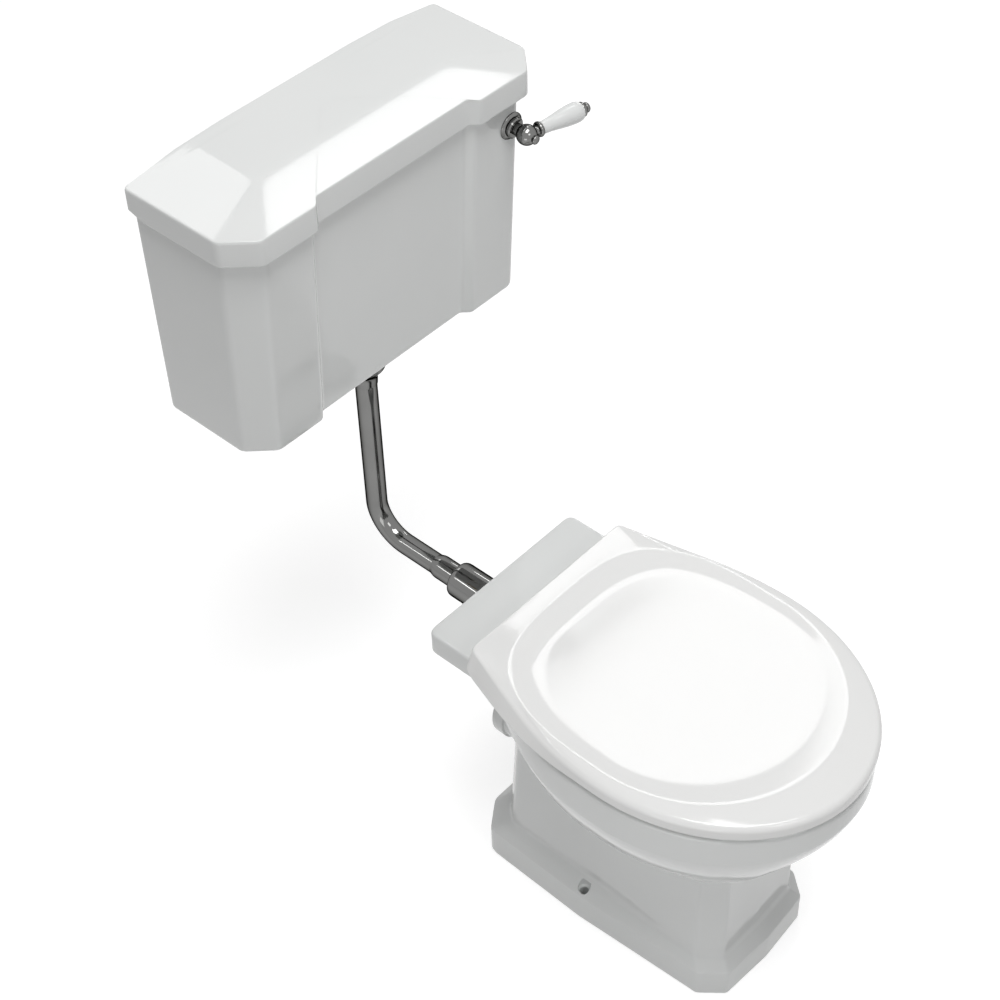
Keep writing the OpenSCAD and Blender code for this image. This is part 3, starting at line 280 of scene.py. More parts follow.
def colour(text):
    """Linear RGBA of an sRGB hex colour such as E8E9E8."""
    srgb = np.array([int(text[i:i + 2], 16) for i in (0, 2, 4)]) / 255
    linear = np.where(srgb <= 0.04045, srgb / 12.92, ((srgb + 0.055) / 1.055) ** 2.4)
    return (*linear.tolist(), 1.0)


def add(tree, kind, inputs=None, **settings):
    """Adds a node with its settings, and gives each of its inputs a value or a link."""
    node = tree.nodes.new(kind)
    for name, value in settings.items():
        setattr(node, name, value)
    for name, value in (inputs or {}).items():
        if isinstance(value, bpy.types.NodeSocket):
            tree.links.new(value, node.inputs[name])
        else:
            node.inputs[name].default_value = value
    return node


def colour_sockets(sockets):
    """Those of a mix node's sockets that carry a colour."""
    return [socket for socket in sockets if socket.type == "RGBA"]


def finish(name, light, dark, rough, patch_mm, grain_mm, grain_depth_mm, stretch=(1, 1, 1),
           **shader):
    """Material whose colour drifts between light and dark over patches, with a fine grain on top.

    Noise scale is 1 / size in metres, times stretch along each axis. rough is the lowest and the
    highest roughness, which follow the patches.
    """
    material = bpy.data.materials.new(name)
    material.use_nodes = True
    tree = material.node_tree
    tree.nodes.clear()
    place = add(tree, "ShaderNodeTexCoord").outputs["Object"]
    place = add(tree, "ShaderNodeMapping", {"Vector": place, "Scale": stretch}).outputs["Vector"]
    patches = add(tree, "ShaderNodeTexNoise",
                  {"Vector": place, "Scale": MM_PER_M / patch_mm, "Detail": 3.0}).outputs["Fac"]
    grain = add(tree, "ShaderNodeTexNoise",
                {"Vector": place, "Scale": MM_PER_M / grain_mm, "Detail": 2.0}).outputs["Fac"]
    tint = add(tree, "ShaderNodeMix", {"Factor": patches}, data_type="RGBA")
    for socket, text in zip(colour_sockets(tint.inputs), (dark, light)):
        socket.default_value = colour(text)
    gloss = add(tree, "ShaderNodeMapRange",
                {"Value": patches, "To Min": rough[0], "To Max": rough[1]})
    bump = add(tree, "ShaderNodeBump",
               {"Height": grain, "Distance": grain_depth_mm / MM_PER_M, "Strength": 1.0})
    surface = add(tree, "ShaderNodeBsdfPrincipled",
                  {"Base Color": colour_sockets(tint.outputs)[0],
                   "Roughness": gloss.outputs["Result"], "Normal": bump.outputs["Normal"],
                   **shader})
    add(tree, "ShaderNodeOutputMaterial", {"Surface": surface.outputs["BSDF"]})
    return material


# Vitreous china under a fired glaze: milk white, mirror-like, faintly rippled as sprayed glaze is
GLAZE = finish("vitreous_china_glaze", "ECEDEC", "E6E8E7", (0.07, 0.12), 160, 9, 0.012, IOR=1.52)
# Moulded thermoset seat: a little whiter and flatter than china
SEAT = finish("moulded_urea_white", "F9F9F8", "F4F4F3", (0.06, 0.1), 220, 14, 0.006, IOR=1.5)
# Chromium plate over brass: a mirror whose grey colour and dark edge tint paint in reflected shade,
# darker towards grazing angles; faint polishing haze
CHROME = finish("chromium_plate", "80807F", "737372", (0.05, 0.09), 60, 3, 0.002, Metallic=1.0,
                **{"Specular Tint": colour("3C3C3A")})
# Moulded rubber: dull black with a fine pebbled skin
RUBBER = finish("moulded_rubber_black", "2A2A2A", "1E1E1E", (0.55, 0.75), 20, 1.2, 0.05)
# Turned brass: warm yellow with lathe lines along Z
BRASS = finish("turned_brass", "C9A25A", "B08A45", (0.22, 0.36), 25, 2.0, 0.01, (1, 1, 6),
               Metallic=1.0)
# Turned stainless steel: cool grey, satin
STEEL = finish("turned_stainless", "A9ABAC", "8F9192", (0.2, 0.32), 20, 1.5, 0.008, (1, 1, 6),
               Metallic=1.0)
# Moulded acetal: off-white, slightly waxy
ACETAL = finish("moulded_acetal", "E4E3DC", "D8D7CF", (0.32, 0.45), 40, 2.5, 0.02)
# Moulded float: warm orange polystyrene
FLOAT = finish("moulded_polystyrene_orange", "C9622A", "B9551F", (0.3, 0.45), 50, 3.0, 0.02)

# The pieces that are shown by the part's own solids
for node_names, material in (
        (("flush_cone", "ring_buffers", "lid_buffers", "hinge_washers", "lever_gasket",
          "siphon_gasket", "fill_valve_gasket", "siphon_diaphragm"), RUBBER),
        (("lever_back_nut", "lever_spindle", "lever_arm", "lift_hook", "fill_valve_back_nut",
          "float_pivot_pin", "float_arm"), BRASS),
        (("lever_arm_screw", "lift_rod", "valve_plunger"), STEEL),
        (("hinge_wing_nuts", "siphon_body", "siphon_back_nut", "siphon_piston",
          "fill_valve_body"), ACETAL),
        (("float_ball",), FLOAT),
        (("hinge_pin", "hinge_posts", "lever_bush"), CHROME)):
    for node_name in node_names:
        node_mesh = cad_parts[node_name].data
        node_mesh.materials.clear()
        node_mesh.materials.append(material)


# Pan

ANGLE_STEP = 0.75
ANGLES = np.radians(np.arange(0, 360, ANGLE_STEP))
FROM_FRONT = np.degrees(np.minimum(ANGLES, 2 * np.pi - ANGLES))
BACKWARDS = np.maximum(0, -np.cos(ANGLES))
PAN_CENTRE = np.array([0, MID_Y])
RIM_BAND = 34.0
WELL_TOP = RIM_Z - RIM_BAND
PEDESTAL_WALL = 12.0
PEDESTAL_TOP = 226.0
LEAN_FROM, LEAN = 66.0, 14.0
SHELF_FRONT = 97.0


def ramp(start, end):
    """0 up to start degrees from the front, 1 beyond end degrees and a straight line between."""
    return np.clip((FROM_FRONT - start) / (end - start), 0, 1)


def heading(angles):
    """Unit vectors at angles counted anticlockwise from the front: (sin, -cos)."""
    return np.column_stack([np.sin(angles), -np.cos(angles)])


def reach(corners, angles=ANGLES):
    """Distance from the pan's centre c to a convex outline at each angle.

    It is the least of n.(p - c) / n.u over the sides that face u, n being a side's normal.
    """
    side = np.roll(corners, -1, axis=0) - corners
    normal = np.column_stack([side[:, 1], -side[:, 0]])
    ahead = heading(angles) @ normal.T
    facing = np.where(ahead > 1e-4, ahead, np.nan)
    return np.nanmin(np.sum(normal * (corners - PAN_CENTRE), axis=1) / facing, axis=1)


def soft_reach(half):
    """Reach of a mirrored polygon, averaged over one degree each way, which rounds its corners."""
    outline = mirrored(np.asarray(half, float))
    turns = np.radians(np.linspace(-1, 1, 5))
    return np.mean([reach(outline, ANGLES + turn) for turn in turns], axis=0)


def oval_reach(half_width, front_y, back_y, square):
    """Reach of an oval: r = 1 / (|sin/a|^q + |cos/b|^q)^(1/q), q = 2 in front and square behind."""
    ahead = np.cos(ANGLES) > 0
    q = np.where(ahead, 2.0, square)
    reach_y = np.where(ahead, MID_Y - front_y, back_y - MID_Y)
    across, along = np.abs(np.sin(ANGLES) / half_width), np.abs(np.cos(ANGLES) / reach_y)
    return (across ** q + along ** q) ** (-1 / q)


def pan_ring(reaches, heights):
    """Ring of the pan: its reach and height at each angle round PAN_CENTRE."""
    return level(PAN_CENTRE + heading(ANGLES) * reaches[:, None], heights)


foot = soft_reach([[0, -222], [76, -217], [101, -187], [111, 0], [107, 158], [66, 187], [0, 187]])
pedestal = soft_reach([[0, -204], [68, -202], [90, -173], [90, 133], [72, 153], [0, 153]])
ledge = np.maximum(foot - 16, pedestal + 2)
hollow = pedestal - PEDESTAL_WALL
rim = reach(seat_outline(RIM_W, RIM_FRONT, 112, corner=20, **RIM_TAPER))

# The flank's upper line lies RIM_BAND below the rim at front and back and lower at the sides
BAND_SAG = 16.6
flank_high = RIM_Z - RIM_BAND - BAND_SAG * np.abs(np.sin(ANGLES)) ** 1.3
# Its lower line falls by a power of a cosine to LOW_AT degrees from the front, rises by a power of
# a sine over the next REAR_SPAN degrees, and is averaged over SMOOTHING angles each way
LOW_Z, LOW_AT = 160.0, 128.0
FRONT_RISE, REAR_RISE, REAR_SPAN = 75.0, 102.0, 32.0
SMOOTHING = 26
flank_low = (LOW_Z + FRONT_RISE * np.cos(np.pi / 2 * ramp(0, LOW_AT)) ** 1.1
             + REAR_RISE * np.sin(np.pi / 2 * ramp(LOW_AT, LOW_AT + REAR_SPAN)) ** 1.5)
flank_low = np.mean([np.roll(flank_low, n) for n in range(-SMOOTHING, SMOOTHING + 1)], axis=0)


def pedestal_at(z):
    """Reach of the pedestal at height z, which leans in at the back from LEAN_FROM to its top."""
    up = np.clip((z - LEAN_FROM) / (PEDESTAL_TOP - LEAN_FROM), 0, 1)
    return pedestal - LEAN * up * BACKWARDS ** 3


def flank(t):
    """Bowl between the pedestal, t = 0, and the rim's band, t = 1: reach p + (r - p) s.

    s = (1 - w)(1 - (1 - t)^(bulge + w)) + w t, and w, the share of a cone, fades out to the back.
    """
    bulge = 1.5 - 0.3 * ramp(60, 120) - 0.55 * ramp(120, 155)
    cone = 0.22 * (1 - ramp(90, 130))
    share = (1 - cone) * (1 - (1 - t) ** (bulge + cone)) + cone * t
    return pan_ring(between(pedestal_at(PEDESTAL_TOP), rim, share),
                    between(flank_low, flank_high, t))


CHANNEL_LOW, CHANNEL_HIGH, CHANNEL_DEPTH = WELL_TOP + 1, WELL_TOP + 16, 9.0
opening = oval_reach(136, -263, 86, 2.4)
well_edge = reach(seat_outline(RIM_W - 22, RIM_FRONT - 11, 97, corner=16, **RIM_TAPER))
well_top = pan_ring(well_edge, WELL_TOP)
THROAT_Y, THROAT_Z = -30.0, 160.0
WAY_R, WAY_WALL, WAY_TURN = 37.0, 9.0, 55.0
WAY_CENTRE = np.array([THROAT_Y + WAY_TURN, 139.0])
WAY_SLOPES = range(-90, 73, 9)
throat = level([0, THROAT_Y] + WAY_R * heading(ANGLES), THROAT_Z)


def well(t):
    """Bowl's inside from under the rim, t = 0, to the throat, t = 1, going in by a power of t.

    The power is 1.4 + 0.35 sin^2 of the angle, less 0.55 times how far it looks to the back.
    """
    power = 1.4 + 0.35 * np.sin(ANGLES) ** 2 - 0.55 * BACKWARDS
    ring = between(well_top, throat, (t ** power)[:, None])
    ring[:, 2] = between(WELL_TOP, THROAT_Z, t)
    return ring


def way_ring(slope, radius):
    """Ring of the waterway where it turns round WAY_CENTRE and slopes up by so many degrees.

    Its middle lies at WAY_CENTRE + WAY_TURN (sin, -cos) in y and z.
    """
    along, up = math.cos(math.radians(slope)), math.sin(math.radians(slope))
    y, z = WAY_CENTRE + WAY_TURN * np.array([up, -along])
    return np.column_stack([radius * np.sin(ANGLES), y + radius * np.cos(ANGLES) * up,
                            z - radius * np.cos(ANGLES) * along])


# One skin, ring by ring with the cut that rounds each: from the roof of the hollow pedestal down to
# the foot, up over the ledge to the pedestal and the flank, over the rim, round the flush channel
# and down the bowl into the waterway
skin = [
    (pan_ring(np.minimum(hollow, 150) - 12, 150), 0), (pan_ring(hollow, 120), 8),
    (pan_ring(hollow, 0), 2), (pan_ring(foot - 3, 0), 0), (pan_ring(foot, 3), 2),
    (pan_ring(foot, 47.5), 2.2), (pan_ring(ledge, 60), 3), (pan_ring(pedestal_at(68), 68), 5),
    (pan_ring(pedestal_at(90), 90), 14)]
skin += [(flank(t), cut) for t, cut in zip(np.linspace(0, 1, 25), [3] + [0] * 23 + [1.5])]
skin += [
    (pan_ring(rim, RIM_Z), 9), (pan_ring(opening + 1, RIM_Z), 6),
    (pan_ring(opening, CHANNEL_LOW), 3), (pan_ring(opening + CHANNEL_DEPTH, CHANNEL_LOW), 3),
    (pan_ring(opening + CHANNEL_DEPTH, CHANNEL_HIGH), 4), (pan_ring(well_edge, CHANNEL_HIGH), 4),
    (well(0.02), 3)]
skin += [(well(t), 0) for t in np.linspace(0.06, 1, 30)]
skin += [(way_ring(slope, WAY_R), 0) for slope in WAY_SLOPES]
skin_rings, skin_cuts = zip(*skin)
skin_shell = shell(soften(np.array(skin_rings), skin_cuts[1:], 4))
way_shell = shell(np.array([way_ring(slope, WAY_R + WAY_WALL) for slope in WAY_SLOPES]))


def shelf_ring(z, d=0.0):
    """Outline of the rear shelf at height z, d inside its edge."""
    half = SHELF_HALF - d
    return level(rectangle((-half, half), (SHELF_FRONT, SHELF_BACK - d), 2, 12), z)


shelf = soften(np.array([shelf_ring(SHELF_Z - SHELF_T, 8), shelf_ring(SHELF_Z - SHELF_T),
                         shelf_ring(SHELF_Z), shelf_ring(SHELF_Z, 9)]), [5, 6])
spigot = turned([[0, 120], [47, 120], [47, 183.5], [50, 184.5], [50, 203], [42, 203], [42, 160],
                 [0, 160]], (0, 0, WASTE_Z), BACK, [0, 1, 1, 3, 3, 0])
horn = turned([[0, 90], [29, 90], [29, 230], [20, 230], [20, 180], [0, 180]], (0, 0, INLET_Z),
              BACK, [0, 4, 3, 0])
rib_outline = rectangle((-14, 14), (SHELF_FRONT + 1, 213), 2, 6)
rib = np.array([level(rib_outline, INLET_Z), level(rib_outline, SHELF_Z - SHELF_T + 2)])
screw_holes = [shell(turned([[0, -5], [6, -5], [6, 49], [8.5, 51.5], [8.5, 64], [0, 64]],
                            (x, 0, 0), UP, sides=48)) for x in (-FIXING_X, FIXING_X)]
pan_mesh = carved("pan_china", [skin_shell, way_shell, shell(shelf), shell(spigot), shell(horn),
                                shell(rib)], screw_holes)
piece("pan_china", "toilet", GLAZE, pan_mesh, ["pan"])


# Cistern and its lid, which is called the cover where the seat's lid could be meant

RECESS_X, RECESS, RECESS_SLOPE = 118.2, 10.6, 9.8
CHAMFER = 34.5
BODY_WALL = 11.0
# Half width and front of the body at its bottom, and how far each goes outwards up to its top
BODY_HALF, BODY_FLARE = 227.7, 3.6
BODY_FRONT, BODY_LEAN = 378.5, 17.7
COVER_HALF, COVER_FRONT = 240.0, 351.8
COVER_FOOT_Z, COVER_SEAT_Z, COVER_ROOF_Z = 957.2, 962.5, 980.8
COVER_EDGE_Z, COVER_TOP_Z = 990.8, 1003.1
PLATEAU_X, PLATEAU_Y = 149.6, 420.5
COVER_MIDDLE = np.array([0, 474.0])


def cistern_outline(half, front, chamfer, back):
    """Straight back, chamfered front corners and a front whose middle is set back by RECESS."""
    right = [[RECESS_X, front + RECESS, 4], [RECESS_X + RECESS_SLOPE, front, 4],
             [half - chamfer + 1, front, 6], [half, front + chamfer, 6], [half, back, 6]]
    return rounded_polygon([[-x, y, turn] for x, y, turn in right[::-1]] + right)


def body_ring(z, d=0.0, wall=0.0):
    """Section of the tapering body at height z, d inside its front and sides, wall off its back."""
    up = (z - BODY_BOTTOM) / (BODY_TOP - BODY_BOTTOM)
    return level(cistern_outline(BODY_HALF + BODY_FLARE * up - d, BODY_FRONT - BODY_LEAN * up + d,
                                 CHAMFER - 3 * (1 - up) - 0.4 * d, WALL_Y - wall), z)


body_rings = np.array([
    body_ring(BODY_BOTTOM + 1.5, 22, 20), body_ring(BODY_BOTTOM + 1.5, 15, 14),
    body_ring(BODY_BOTTOM, 14, 13), body_ring(BODY_BOTTOM), body_ring(BODY_TOP),
    body_ring(BODY_TOP, BODY_WALL, BODY_WALL), body_ring(BODY_BOTTOM + 12, BODY_WALL, BODY_WALL),
    body_ring(BODY_BOTTOM + 12, 30, 30)])
piece("cistern_body_china", "toilet", GLAZE,
      [shell(soften(body_rings, [2, 4, 9, 3, 3, 12]))], ["cistern_body"])


def cover_top(outline):
    """Outline on the cover's top, at the soft least of its flat and the planes that rise to it.

    The soft least of heights h is -k ln(sum exp(-h / k)), which rounds the edges between them.
    """
    x, y = np.abs(outline[:, 0]), outline[:, 1]
    corner_line = COVER_HALF - COVER_FRONT - CHAMFER
    shares = np.array([(y - COVER_FRONT) / (PLATEAU_Y - COVER_FRONT),
                       (COVER_HALF - x) / (COVER_HALF - PLATEAU_X),
                       (corner_line - (x - y)) / (corner_line - (PLATEAU_X - PLATEAU_Y - 4))])
    planes = between(COVER_EDGE_Z, COVER_TOP_Z, shares)
    k = 0.45
    below_top = COVER_TOP_Z - np.vstack([np.full_like(x, COVER_TOP_Z + 0.3), planes])
    return level(outline, COVER_TOP_Z - k * np.log(np.sum(np.exp(below_top / k), axis=0)))


def cover_outline(d=0.0, back=WALL_Y):
    """Outline of the cover, d inside its edge."""
    return cistern_outline(COVER_HALF - d, COVER_FRONT + d, CHAMFER - 0.4 * d, back)


def cover_foot(d=0.0, back=WALL_Y):
    """Lower edge of the cover's skirt, d inside its edge, which is higher along the wall."""
    outline = cover_outline(d, back)
    return level(outline, np.where(outline[:, 1] > WALL_Y - 19, COVER_SEAT_Z, COVER_FOOT_Z))


cover_rings = [
    level(cover_outline(40, 500), COVER_ROOF_Z), level(cover_outline(31, 508), COVER_ROOF_Z),
    level(cover_outline(31, 508), COVER_SEAT_Z), level(cover_outline(7, 522), COVER_SEAT_Z),
    cover_foot(6.5, 523), cover_foot(), cover_top(cover_outline())]
cover_rings += [cover_top(between(COVER_MIDDLE, cover_outline(), share))
                for share in np.linspace(0.985, 0.03, 70)]
cover_cuts = [4, 0, 0, 0, 2, 4] + [0] * 69
piece("cistern_lid_china", "cistern_lid", GLAZE,
      [shell(soften(np.array(cover_rings), cover_cuts))], ["cistern_lid"])


# Seat

DRAW_START = -37.0
RING_Z = RIM_Z + 3
RING_BACK = HINGE_Y - 16.5
SKIRT_Z = RING_Z + 3.8
SKIRT_R = 15.5
LUG_R = 8.5
OVER_SHELF_Y = 94.0
HINGE_PIN = (0, HINGE_Y, HINGE_Z)

lid_base = seat_outline(LID_W, LID_FRONT, LID_BACK, DRAW_START)
lid_edge = seat_outline(LID_W, LID_FRONT, LID_BACK, MID_Y)
crease = oval(len(lid_edge), 171, -264, 122, 3.2)
dish_floor = oval(len(lid_edge), 150, -221, 98, 3.0)
dish_middle = circle(len(lid_edge), MID_Y + 30, 5)


def raised(outline, low, d=0.0, rise=1.0):
    """Outline on the lid at z = low - d + rise (LID_REAR_Z - low) s^2.

    s is the share of the way from MID_Y to the lid's back.
    """
    share = np.clip((outline[:, 1] - MID_Y) / (LID_BACK - MID_Y), 0, 1)
    return level(outline, low - d + rise * (LID_REAR_Z - low) * share ** 2)


def skirt(outline):
    """Outline at the skirt's lower edge.

    Behind the hinge it lies on a circle of radius SKIRT_R round the pin, and over the lugs' notches
    it is higher.
    """
    behind = np.clip(outline[:, 1] - HINGE_Y, 0, SKIRT_R - 0.1)
    z = np.where(behind > 0, HINGE_Z - np.sqrt(SKIRT_R ** 2 - behind ** 2), SKIRT_Z)
    beside = np.abs(outline[:, 0])
    notched = (beside > NOTCH[0] - 0.02) & (beside < NOTCH[1] - 0.02) & (behind > 5)
    return level(outline, np.where(notched, HINGE_Z + 9, z))


def lid_top(d):
    """Rings of the lid's top from edge to middle, d below it."""
    edge = inset(lid_edge, 4.5)
    return [raised(edge, LID_EDGE_Z + 4.2, d),
            raised(between(crease, edge, 0.5), LID_EDGE_Z + 7, d),
            raised(crease, LID_EDGE_Z + 8.5, d),
            raised(dish_floor, LID_EDGE_Z + 4.8, d, 0.12),
            raised(between(dish_middle, dish_floor, 0.5), LID_EDGE_Z + 4.6, d, 0.1),
            raised(dish_middle, LID_EDGE_Z + 4.5, d, 0.1)]


def lugs(inner_x, outer_x, y, z, turn):
    """Two eyes round the hinge pin, mirrored, each with a block of y and z that joins it on."""
    shells = []
    for x in ((inner_x, outer_x), (-outer_x, -inner_x)):
        eye = turned([[0, x[0]], [LUG_R, x[0]], [LUG_R, x[1]], [0, x[1]]], HINGE_PIN, (1, 0, 0),
                     [1, 1])
        block = rectangle(x, y, turn, turn)
        shells += [shell(eye), shell(np.array([level(block, height) for height in z]))]
    return shells


lid_rings = np.array(
    lid_top(LID_WALL)[::-1]
    + [skirt(inset(lid_base, LID_WALL)), skirt(inset(lid_base, 0.6)),
       raised(inset(between(lid_base, lid_edge, 0.9), 0.2), LID_EDGE_Z - 1)]
    + lid_top(0))
lid_cuts = [60, 14, 5, 20, 4, 1.5, 1.5, 3, 3.4, 30, 4.5, 14, 60]
lid_lugs = lugs(85, 96, (HINGE_Y - LUG_R, HINGE_Y + LUG_R), (HINGE_Z, LID_REAR_Z - 3), 1)
piece("seat_lid_moulding", "seat_lid", SEAT,
      [shell(soften(lid_rings, lid_cuts, 8))] + lid_lugs, ["seat_lid"])


def ring_bottom(outline, z):
    """Outline at z, lifted over the shelf where it is behind OVER_SHELF_Y."""
    over_shelf = outline[:, 1] > OVER_SHELF_Y
    return level(outline, np.where(over_shelf, np.maximum(z, SHELF_Z + 2), z))


ring_base = seat_outline(LID_W, LID_FRONT, RING_BACK, DRAW_START)
ring_edge = seat_outline(LID_W, LID_FRONT, RING_BACK, MID_Y)
ring_hole = oval(len(ring_base), 113, MID_Y - 166, 60, 2.3)
ring_rings = np.array([
    ring_bottom(ring_hole, RING_Z + 5),
    ring_bottom(between(ring_hole, ring_base, 0.08), RING_Z),
    ring_bottom(inset(ring_base, 3), RING_Z),
    ring_bottom(inset(ring_base, 2.5), RING_Z + 2.6),
    ring_bottom(inset(ring_edge, 8), RING_Z + 3.2),
    level(inset(ring_edge, 8), RING_Z + 12),
    level(between(ring_hole, inset(ring_edge, 12), 0.6), RING_Z + 15),
    level(between(ring_hole, ring_edge, 0.25), RING_Z + 14),
    level(ring_hole, RING_Z + 5.5)])
ring_stack = soften(ring_rings, [3, 1, 1, 1, 5, 30, 20], 6)
ring_stack[-1] = ring_stack[0]
ring_lugs = lugs(59, 70, (RING_BACK - 18, HINGE_Y), (SHELF_Z + 3, RING_Z + 14), 2)
piece("seat_ring_moulding", "seat_ring", SEAT,
      [shell(ring_stack, closed=False)] + ring_lugs, ["seat_ring"])


# Flush pipe and its fittings

PIPE_R = 14.0
PIPE_TOP, PIPE_END = 640.0, 300.0
BEND_R = 50.0
bend = np.linspace(0, np.pi / 2, 25)
bend_path = np.column_stack([PIPE_Y - BEND_R + BEND_R * np.cos(bend),
                             INLET_Z + BEND_R - BEND_R * np.sin(bend)])
pipe_path = np.concatenate([[[PIPE_Y, PIPE_TOP], [PIPE_Y, 520.0]], bend_path,
                            [[PIPE_END, INLET_Z]]])
pipe_turns = np.concatenate([[0, 0], bend, [np.pi / 2]])
around = np.linspace(0, 2 * np.pi, 72, endpoint=False)
pipe = np.array([
    np.column_stack([PIPE_R * np.cos(around), y - PIPE_R * np.sin(around) * math.cos(turn),
                     z + PIPE_R * np.sin(around) * math.sin(turn)])
    for (y, z), turn in zip(pipe_path, pipe_turns)])
collar = turned([[0, 290], [16.2, 290], [16.2, 331], [PIPE_R + 0.4, 337], [PIPE_R, 338], [0, 338]],
                (0, 0, INLET_Z), BACK, [1, 3, 2, 0])
piece("flush_pipe_chrome", "toilet", CHROME, [shell(pipe), shell(collar)],
      ["flush_pipe"])
nut = turned([[PIPE_R + 0.5, 604], [PIPE_R + 1, 604], [PIPE_R + 2, 620], [24.5, 630], [26.5, 633],
              [26.5, 650], [22.8, 650], [22.8, 634], [PIPE_R + 0.5, 634]],
             (0, PIPE_Y, 0), UP, [0.3, 5, 3, 1.5, 1.5, 0.5, 0])
piece("flush_pipe_nut_chrome", "toilet", CHROME, [shell(nut, closed=False)],
      ["flush_pipe_nut"])
cup = turned([[22.5, 230.3], [24.5, 230.3], [24.5, 300.3], [16.5, 300.3], [16.5, 297],
              [22.5, 296]], (0, 0, INLET_Z), BACK, [0.5, 8, 1, 0])
piece("pan_inlet_cup_chrome", "toilet", CHROME, [shell(cup, closed=False)],
      ["pan_inlet_cup"])


# Lever

FRONT_LEAN = math.radians(3.41745)
LEVER_YAW = math.radians(10)
LEAN_TURN = np.array([[1, 0, 0], [0, math.cos(FRONT_LEAN), -math.sin(FRONT_LEAN)],
                      [0, math.sin(FRONT_LEAN), math.cos(FRONT_LEAN)]])
LEVER = np.array([188, 363.32, 920.0])
INTO_WALL = LEAN_TURN @ BACK
ALONG = LEAN_TURN @ [math.cos(LEVER_YAW), -math.sin(LEVER_YAW), 0]
BALL = LEVER - 25 * INTO_WALL
BALL_R = 12.7
GRIP_START, GRIP_END = 20.7, 80.0
GRIP_NECK_R, GRIP_R, GRIP_END_R = 7.8, 12.5, 9.2
GRIP_WIDEST = 0.84

rose = turned([[0, -5], [10.5, -5], [11, -4.4], [14.5, -3.8], [17.5, -1.6], [17.5, 0], [0, 0]],
              LEVER, INTO_WALL, [0.4, 0.6, 1, 0.8, 0.3])
piece("lever_rose_chrome", "toilet", CHROME, [shell(rose)], ["lever_rose"])

half_turn = np.linspace(-np.pi / 2, np.pi / 2, 49)
ball = turned(BALL_R * np.column_stack([np.cos(half_turn), np.sin(half_turn)]), BALL, INTO_WALL)
stem = turned([[0, 0], [7.5, 0], [7.5, 15.7], [0, 15.7]], BALL, INTO_WALL, [0, 0.6])
boss = turned([[0, -16.6], [3.6, -16.5], [5.7, -15], [5.7, -13.4], [4.2, -11.8], [0, -11]],
              BALL, INTO_WALL, [1.5, 1.2, 1, 1])
piece("lever_ball_chrome", "flush_lever", CHROME,
      [shell(ball), shell(stem), shell(boss)], ["lever_ball"])
ferrule = turned([[0, 9], [5, 9], [5.1, 14.8], [8.6, 15.7], [9.5, 17], [9.5, 18.8], [8.6, 20.4],
                  [8, GRIP_START], [0, GRIP_START]], BALL, ALONG, [0, 1, 0.6, 0.8, 0.8, 0.8, 0.3])
piece("lever_ferrule_chrome", "flush_lever", CHROME, [shell(ferrule)],
      ["lever_ferrule"])

# The grip swells by sin^2 to its widest place and ends in a quarter of an ellipse
along = np.linspace(0, 1, 60)
before_widest = np.minimum(along, GRIP_WIDEST) / GRIP_WIDEST
past_widest = (along - GRIP_WIDEST) / (1 - GRIP_WIDEST)
swell = between(GRIP_NECK_R, GRIP_R, np.sin(np.pi / 2 * before_widest) ** 2)
nose = between(GRIP_END_R, GRIP_R, np.sqrt(np.clip(1 - past_widest ** 2, 0, 1)))
grip_profile = np.column_stack([np.where(along < GRIP_WIDEST, swell, nose),
                                between(GRIP_START, GRIP_END, along)])
grip = turned(np.concatenate([[[0, GRIP_START]], grip_profile, [[0, GRIP_END]]]), BALL, ALONG)
piece("lever_grip_china", "flush_lever", GLAZE, [shell(grip)], ["lever_grip"])
finial = turned([[0, 79.6], [8.9, 79.6], [9.3, 80.6], [9.3, 83], [8.2, 84.2], [5.4, 84.8],
                 [5.2, 86], [6.3, 87], [6.4, 89.2], [5.2, 91.2], [2.8, 92], [0, 92.2]],
                BALL, ALONG, [0.4, 0.8, 0.8, 0.8, 0.6, 0.4, 0.6, 1, 1, 1])
piece("lever_finial_chrome", "flush_lever", CHROME, [shell(finial)], ["lever_finial"])


# Camera, floor and light, in metres

scene = bpy.context.scene
scene.view_settings.view_transform = "Standard"

camera_data = bpy.data.cameras.new("camera")
camera_data.sensor_width = 36
camera_data.lens = 76.07
camera_data.shift_x = -0.0722
camera_data.shift_y = -0.0155
camera_data.clip_end = 50
camera = bpy.data.objects.new("camera", camera_data)
camera.location = (-1.3010, -1.0155, 2.3426)
AZIMUTH, ELEVATION = math.radians(40.79), math.radians(44.69)
camera.rotation_euler = (math.pi / 2 - ELEVATION, 0, AZIMUTH - math.pi / 2)
scene.collection.objects.link(camera)
scene.camera = camera


def seen_background(tree):
    """1 for the rays that show the background: camera, glossy and transmission rays; else 0."""
    rays = add(tree, "ShaderNodeLightPath").outputs
    either = add(tree, "ShaderNodeMath", {0: rays["Is Camera Ray"], 1: rays["Is Glossy Ray"]},
                 operation="MAXIMUM").outputs[0]
    return add(tree, "ShaderNodeMath", {0: either, 1: rays["Is Transmission Ray"]},
               operation="MAXIMUM").outputs[0]


world = bpy.data.worlds.new("studio")
scene.world = world
world.use_nodes = True
world_tree = world.node_tree
world_tree.nodes.clear()
AMBIENT = 0.17
strength = add(world_tree, "ShaderNodeMapRange",
               {"Value": seen_background(world_tree), "To Min": AMBIENT, "To Max": 1.0})
sky = add(world_tree, "ShaderNodeBackground",
          {"Color": (1, 1, 1, 1), "Strength": strength.outputs["Result"]})
add(world_tree, "ShaderNodeOutputWorld", {"Surface": sky.outputs["Background"]})

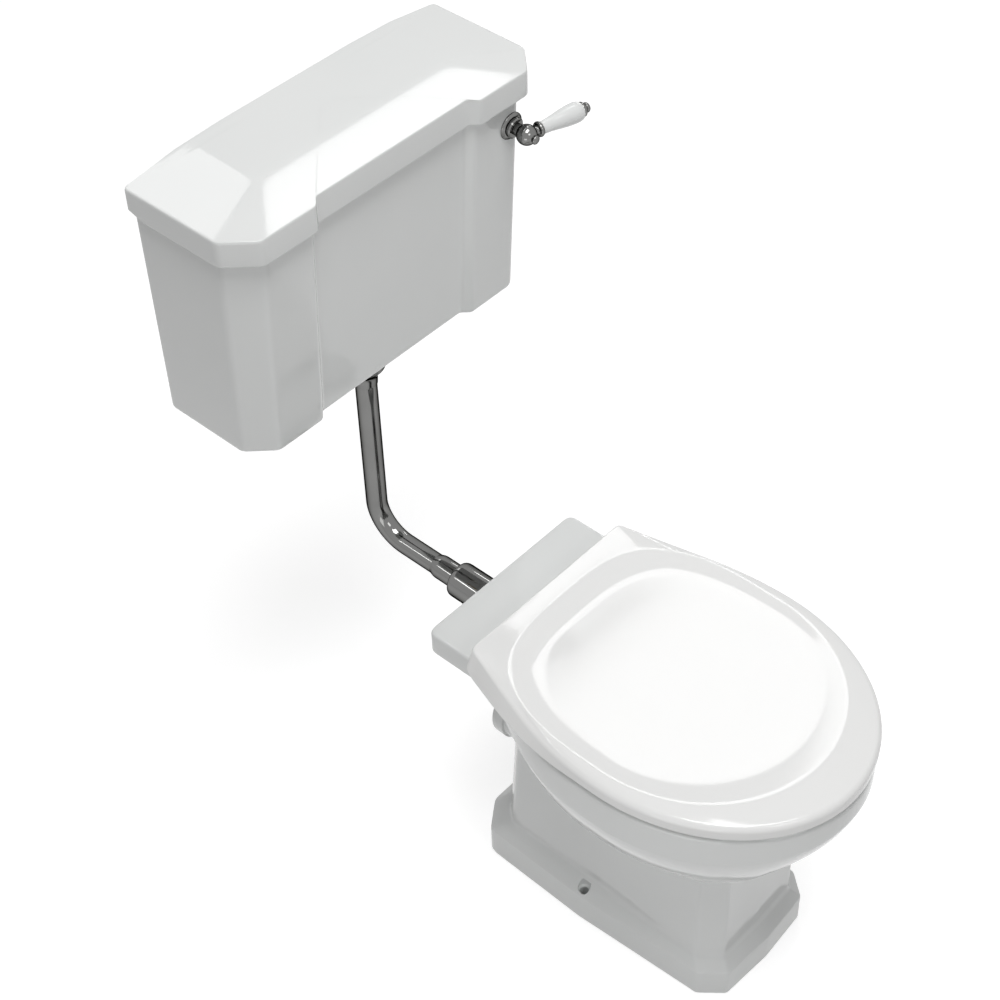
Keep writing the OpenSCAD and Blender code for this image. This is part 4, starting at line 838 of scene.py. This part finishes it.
# The floor takes the lamps' light and shadows, and glows a little towards the camera
FLOOR_GLOW = 0.68
FLOOR_HALF = 6
floor_paint = bpy.data.materials.new("studio_floor")
floor_paint.use_nodes = True
paint_tree = floor_paint.node_tree
paint_tree.nodes.clear()
matt = add(paint_tree, "ShaderNodeBsdfDiffuse", {"Color": colour("D2D2D2")})
glow = add(paint_tree, "ShaderNodeEmission", {"Color": (1, 1, 1, 1), "Strength": FLOOR_GLOW})
unlit = add(paint_tree, "ShaderNodeEmission", {"Color": (0, 0, 0, 1), "Strength": 0.0})
lift = add(paint_tree, "ShaderNodeMixShader",
           {0: seen_background(paint_tree), 1: unlit.outputs[0], 2: glow.outputs[0]})
both = add(paint_tree, "ShaderNodeAddShader", {0: matt.outputs[0], 1: lift.outputs[0]})
add(paint_tree, "ShaderNodeOutputMaterial", {"Surface": both.outputs[0]})
floor_mesh = bpy.data.meshes.new("floor")
floor_mesh.from_pydata([(x * FLOOR_HALF, y * FLOOR_HALF, 0)
                        for x, y in ((-1, -1), (1, -1), (1, 1), (-1, 1))], [], [(0, 1, 2, 3)])
floor_mesh.materials.append(floor_paint)
floor = bpy.data.objects.new("floor", floor_mesh)
scene.collection.objects.link(floor)


def lamp(name, place, target, size, power):
    """Soft rectangular lamp at place that faces target, with its power in watts."""
    data = bpy.data.lights.new(name, "AREA")
    data.shape = "RECTANGLE"
    data.size, data.size_y = size
    data.energy = power
    holder = bpy.data.objects.new(name, data)
    away = np.asarray(place, float) - np.asarray(target, float)
    holder.location = place
    holder.rotation_euler = (math.atan2(math.hypot(away[0], away[1]), away[2]), 0,
                             math.atan2(away[1], away[0]) + math.pi / 2)
    scene.collection.objects.link(holder)


AT_PIPE = (0, 0.32, 0.36)
lamp("seen_softbox", (2.63, 1.8, 4.56), (2.63, 1.8001, 0.0), (1.35, 0.9), 17)
lamp("overhead_softbox", (-1.0, -0.8, 4.6), (0, 0, 0.5), (1.5, 1.5), 56)
lamp("centre_softbox", (0.3, -0.6, 4.6), (0.1, 0, 0.5), (1.5, 1.5), 44)
lamp("front_softbox", (-0.7, -3.0, 3.2), (0, 0, 0.3), (1.4, 1.2), 15)
lamp("pipe_strip_right", (2.6, 1.5, 1.7), AT_PIPE, (0.7, 0.2), 3.5)
lamp("pipe_strip_left", (-2.0, 1.75, 2.3), AT_PIPE, (0.5, 0.15), 2)
lamp("rear_softbox", (1.3, 3.9, 4.56), (0.2, 0.4, 0.8), (1.2, 1.0), 8.3)
lamp("low_fill", (-1.4, -0.6, 0.4), (0, -0.05, 0.15), (0.9, 0.6), 2.6)
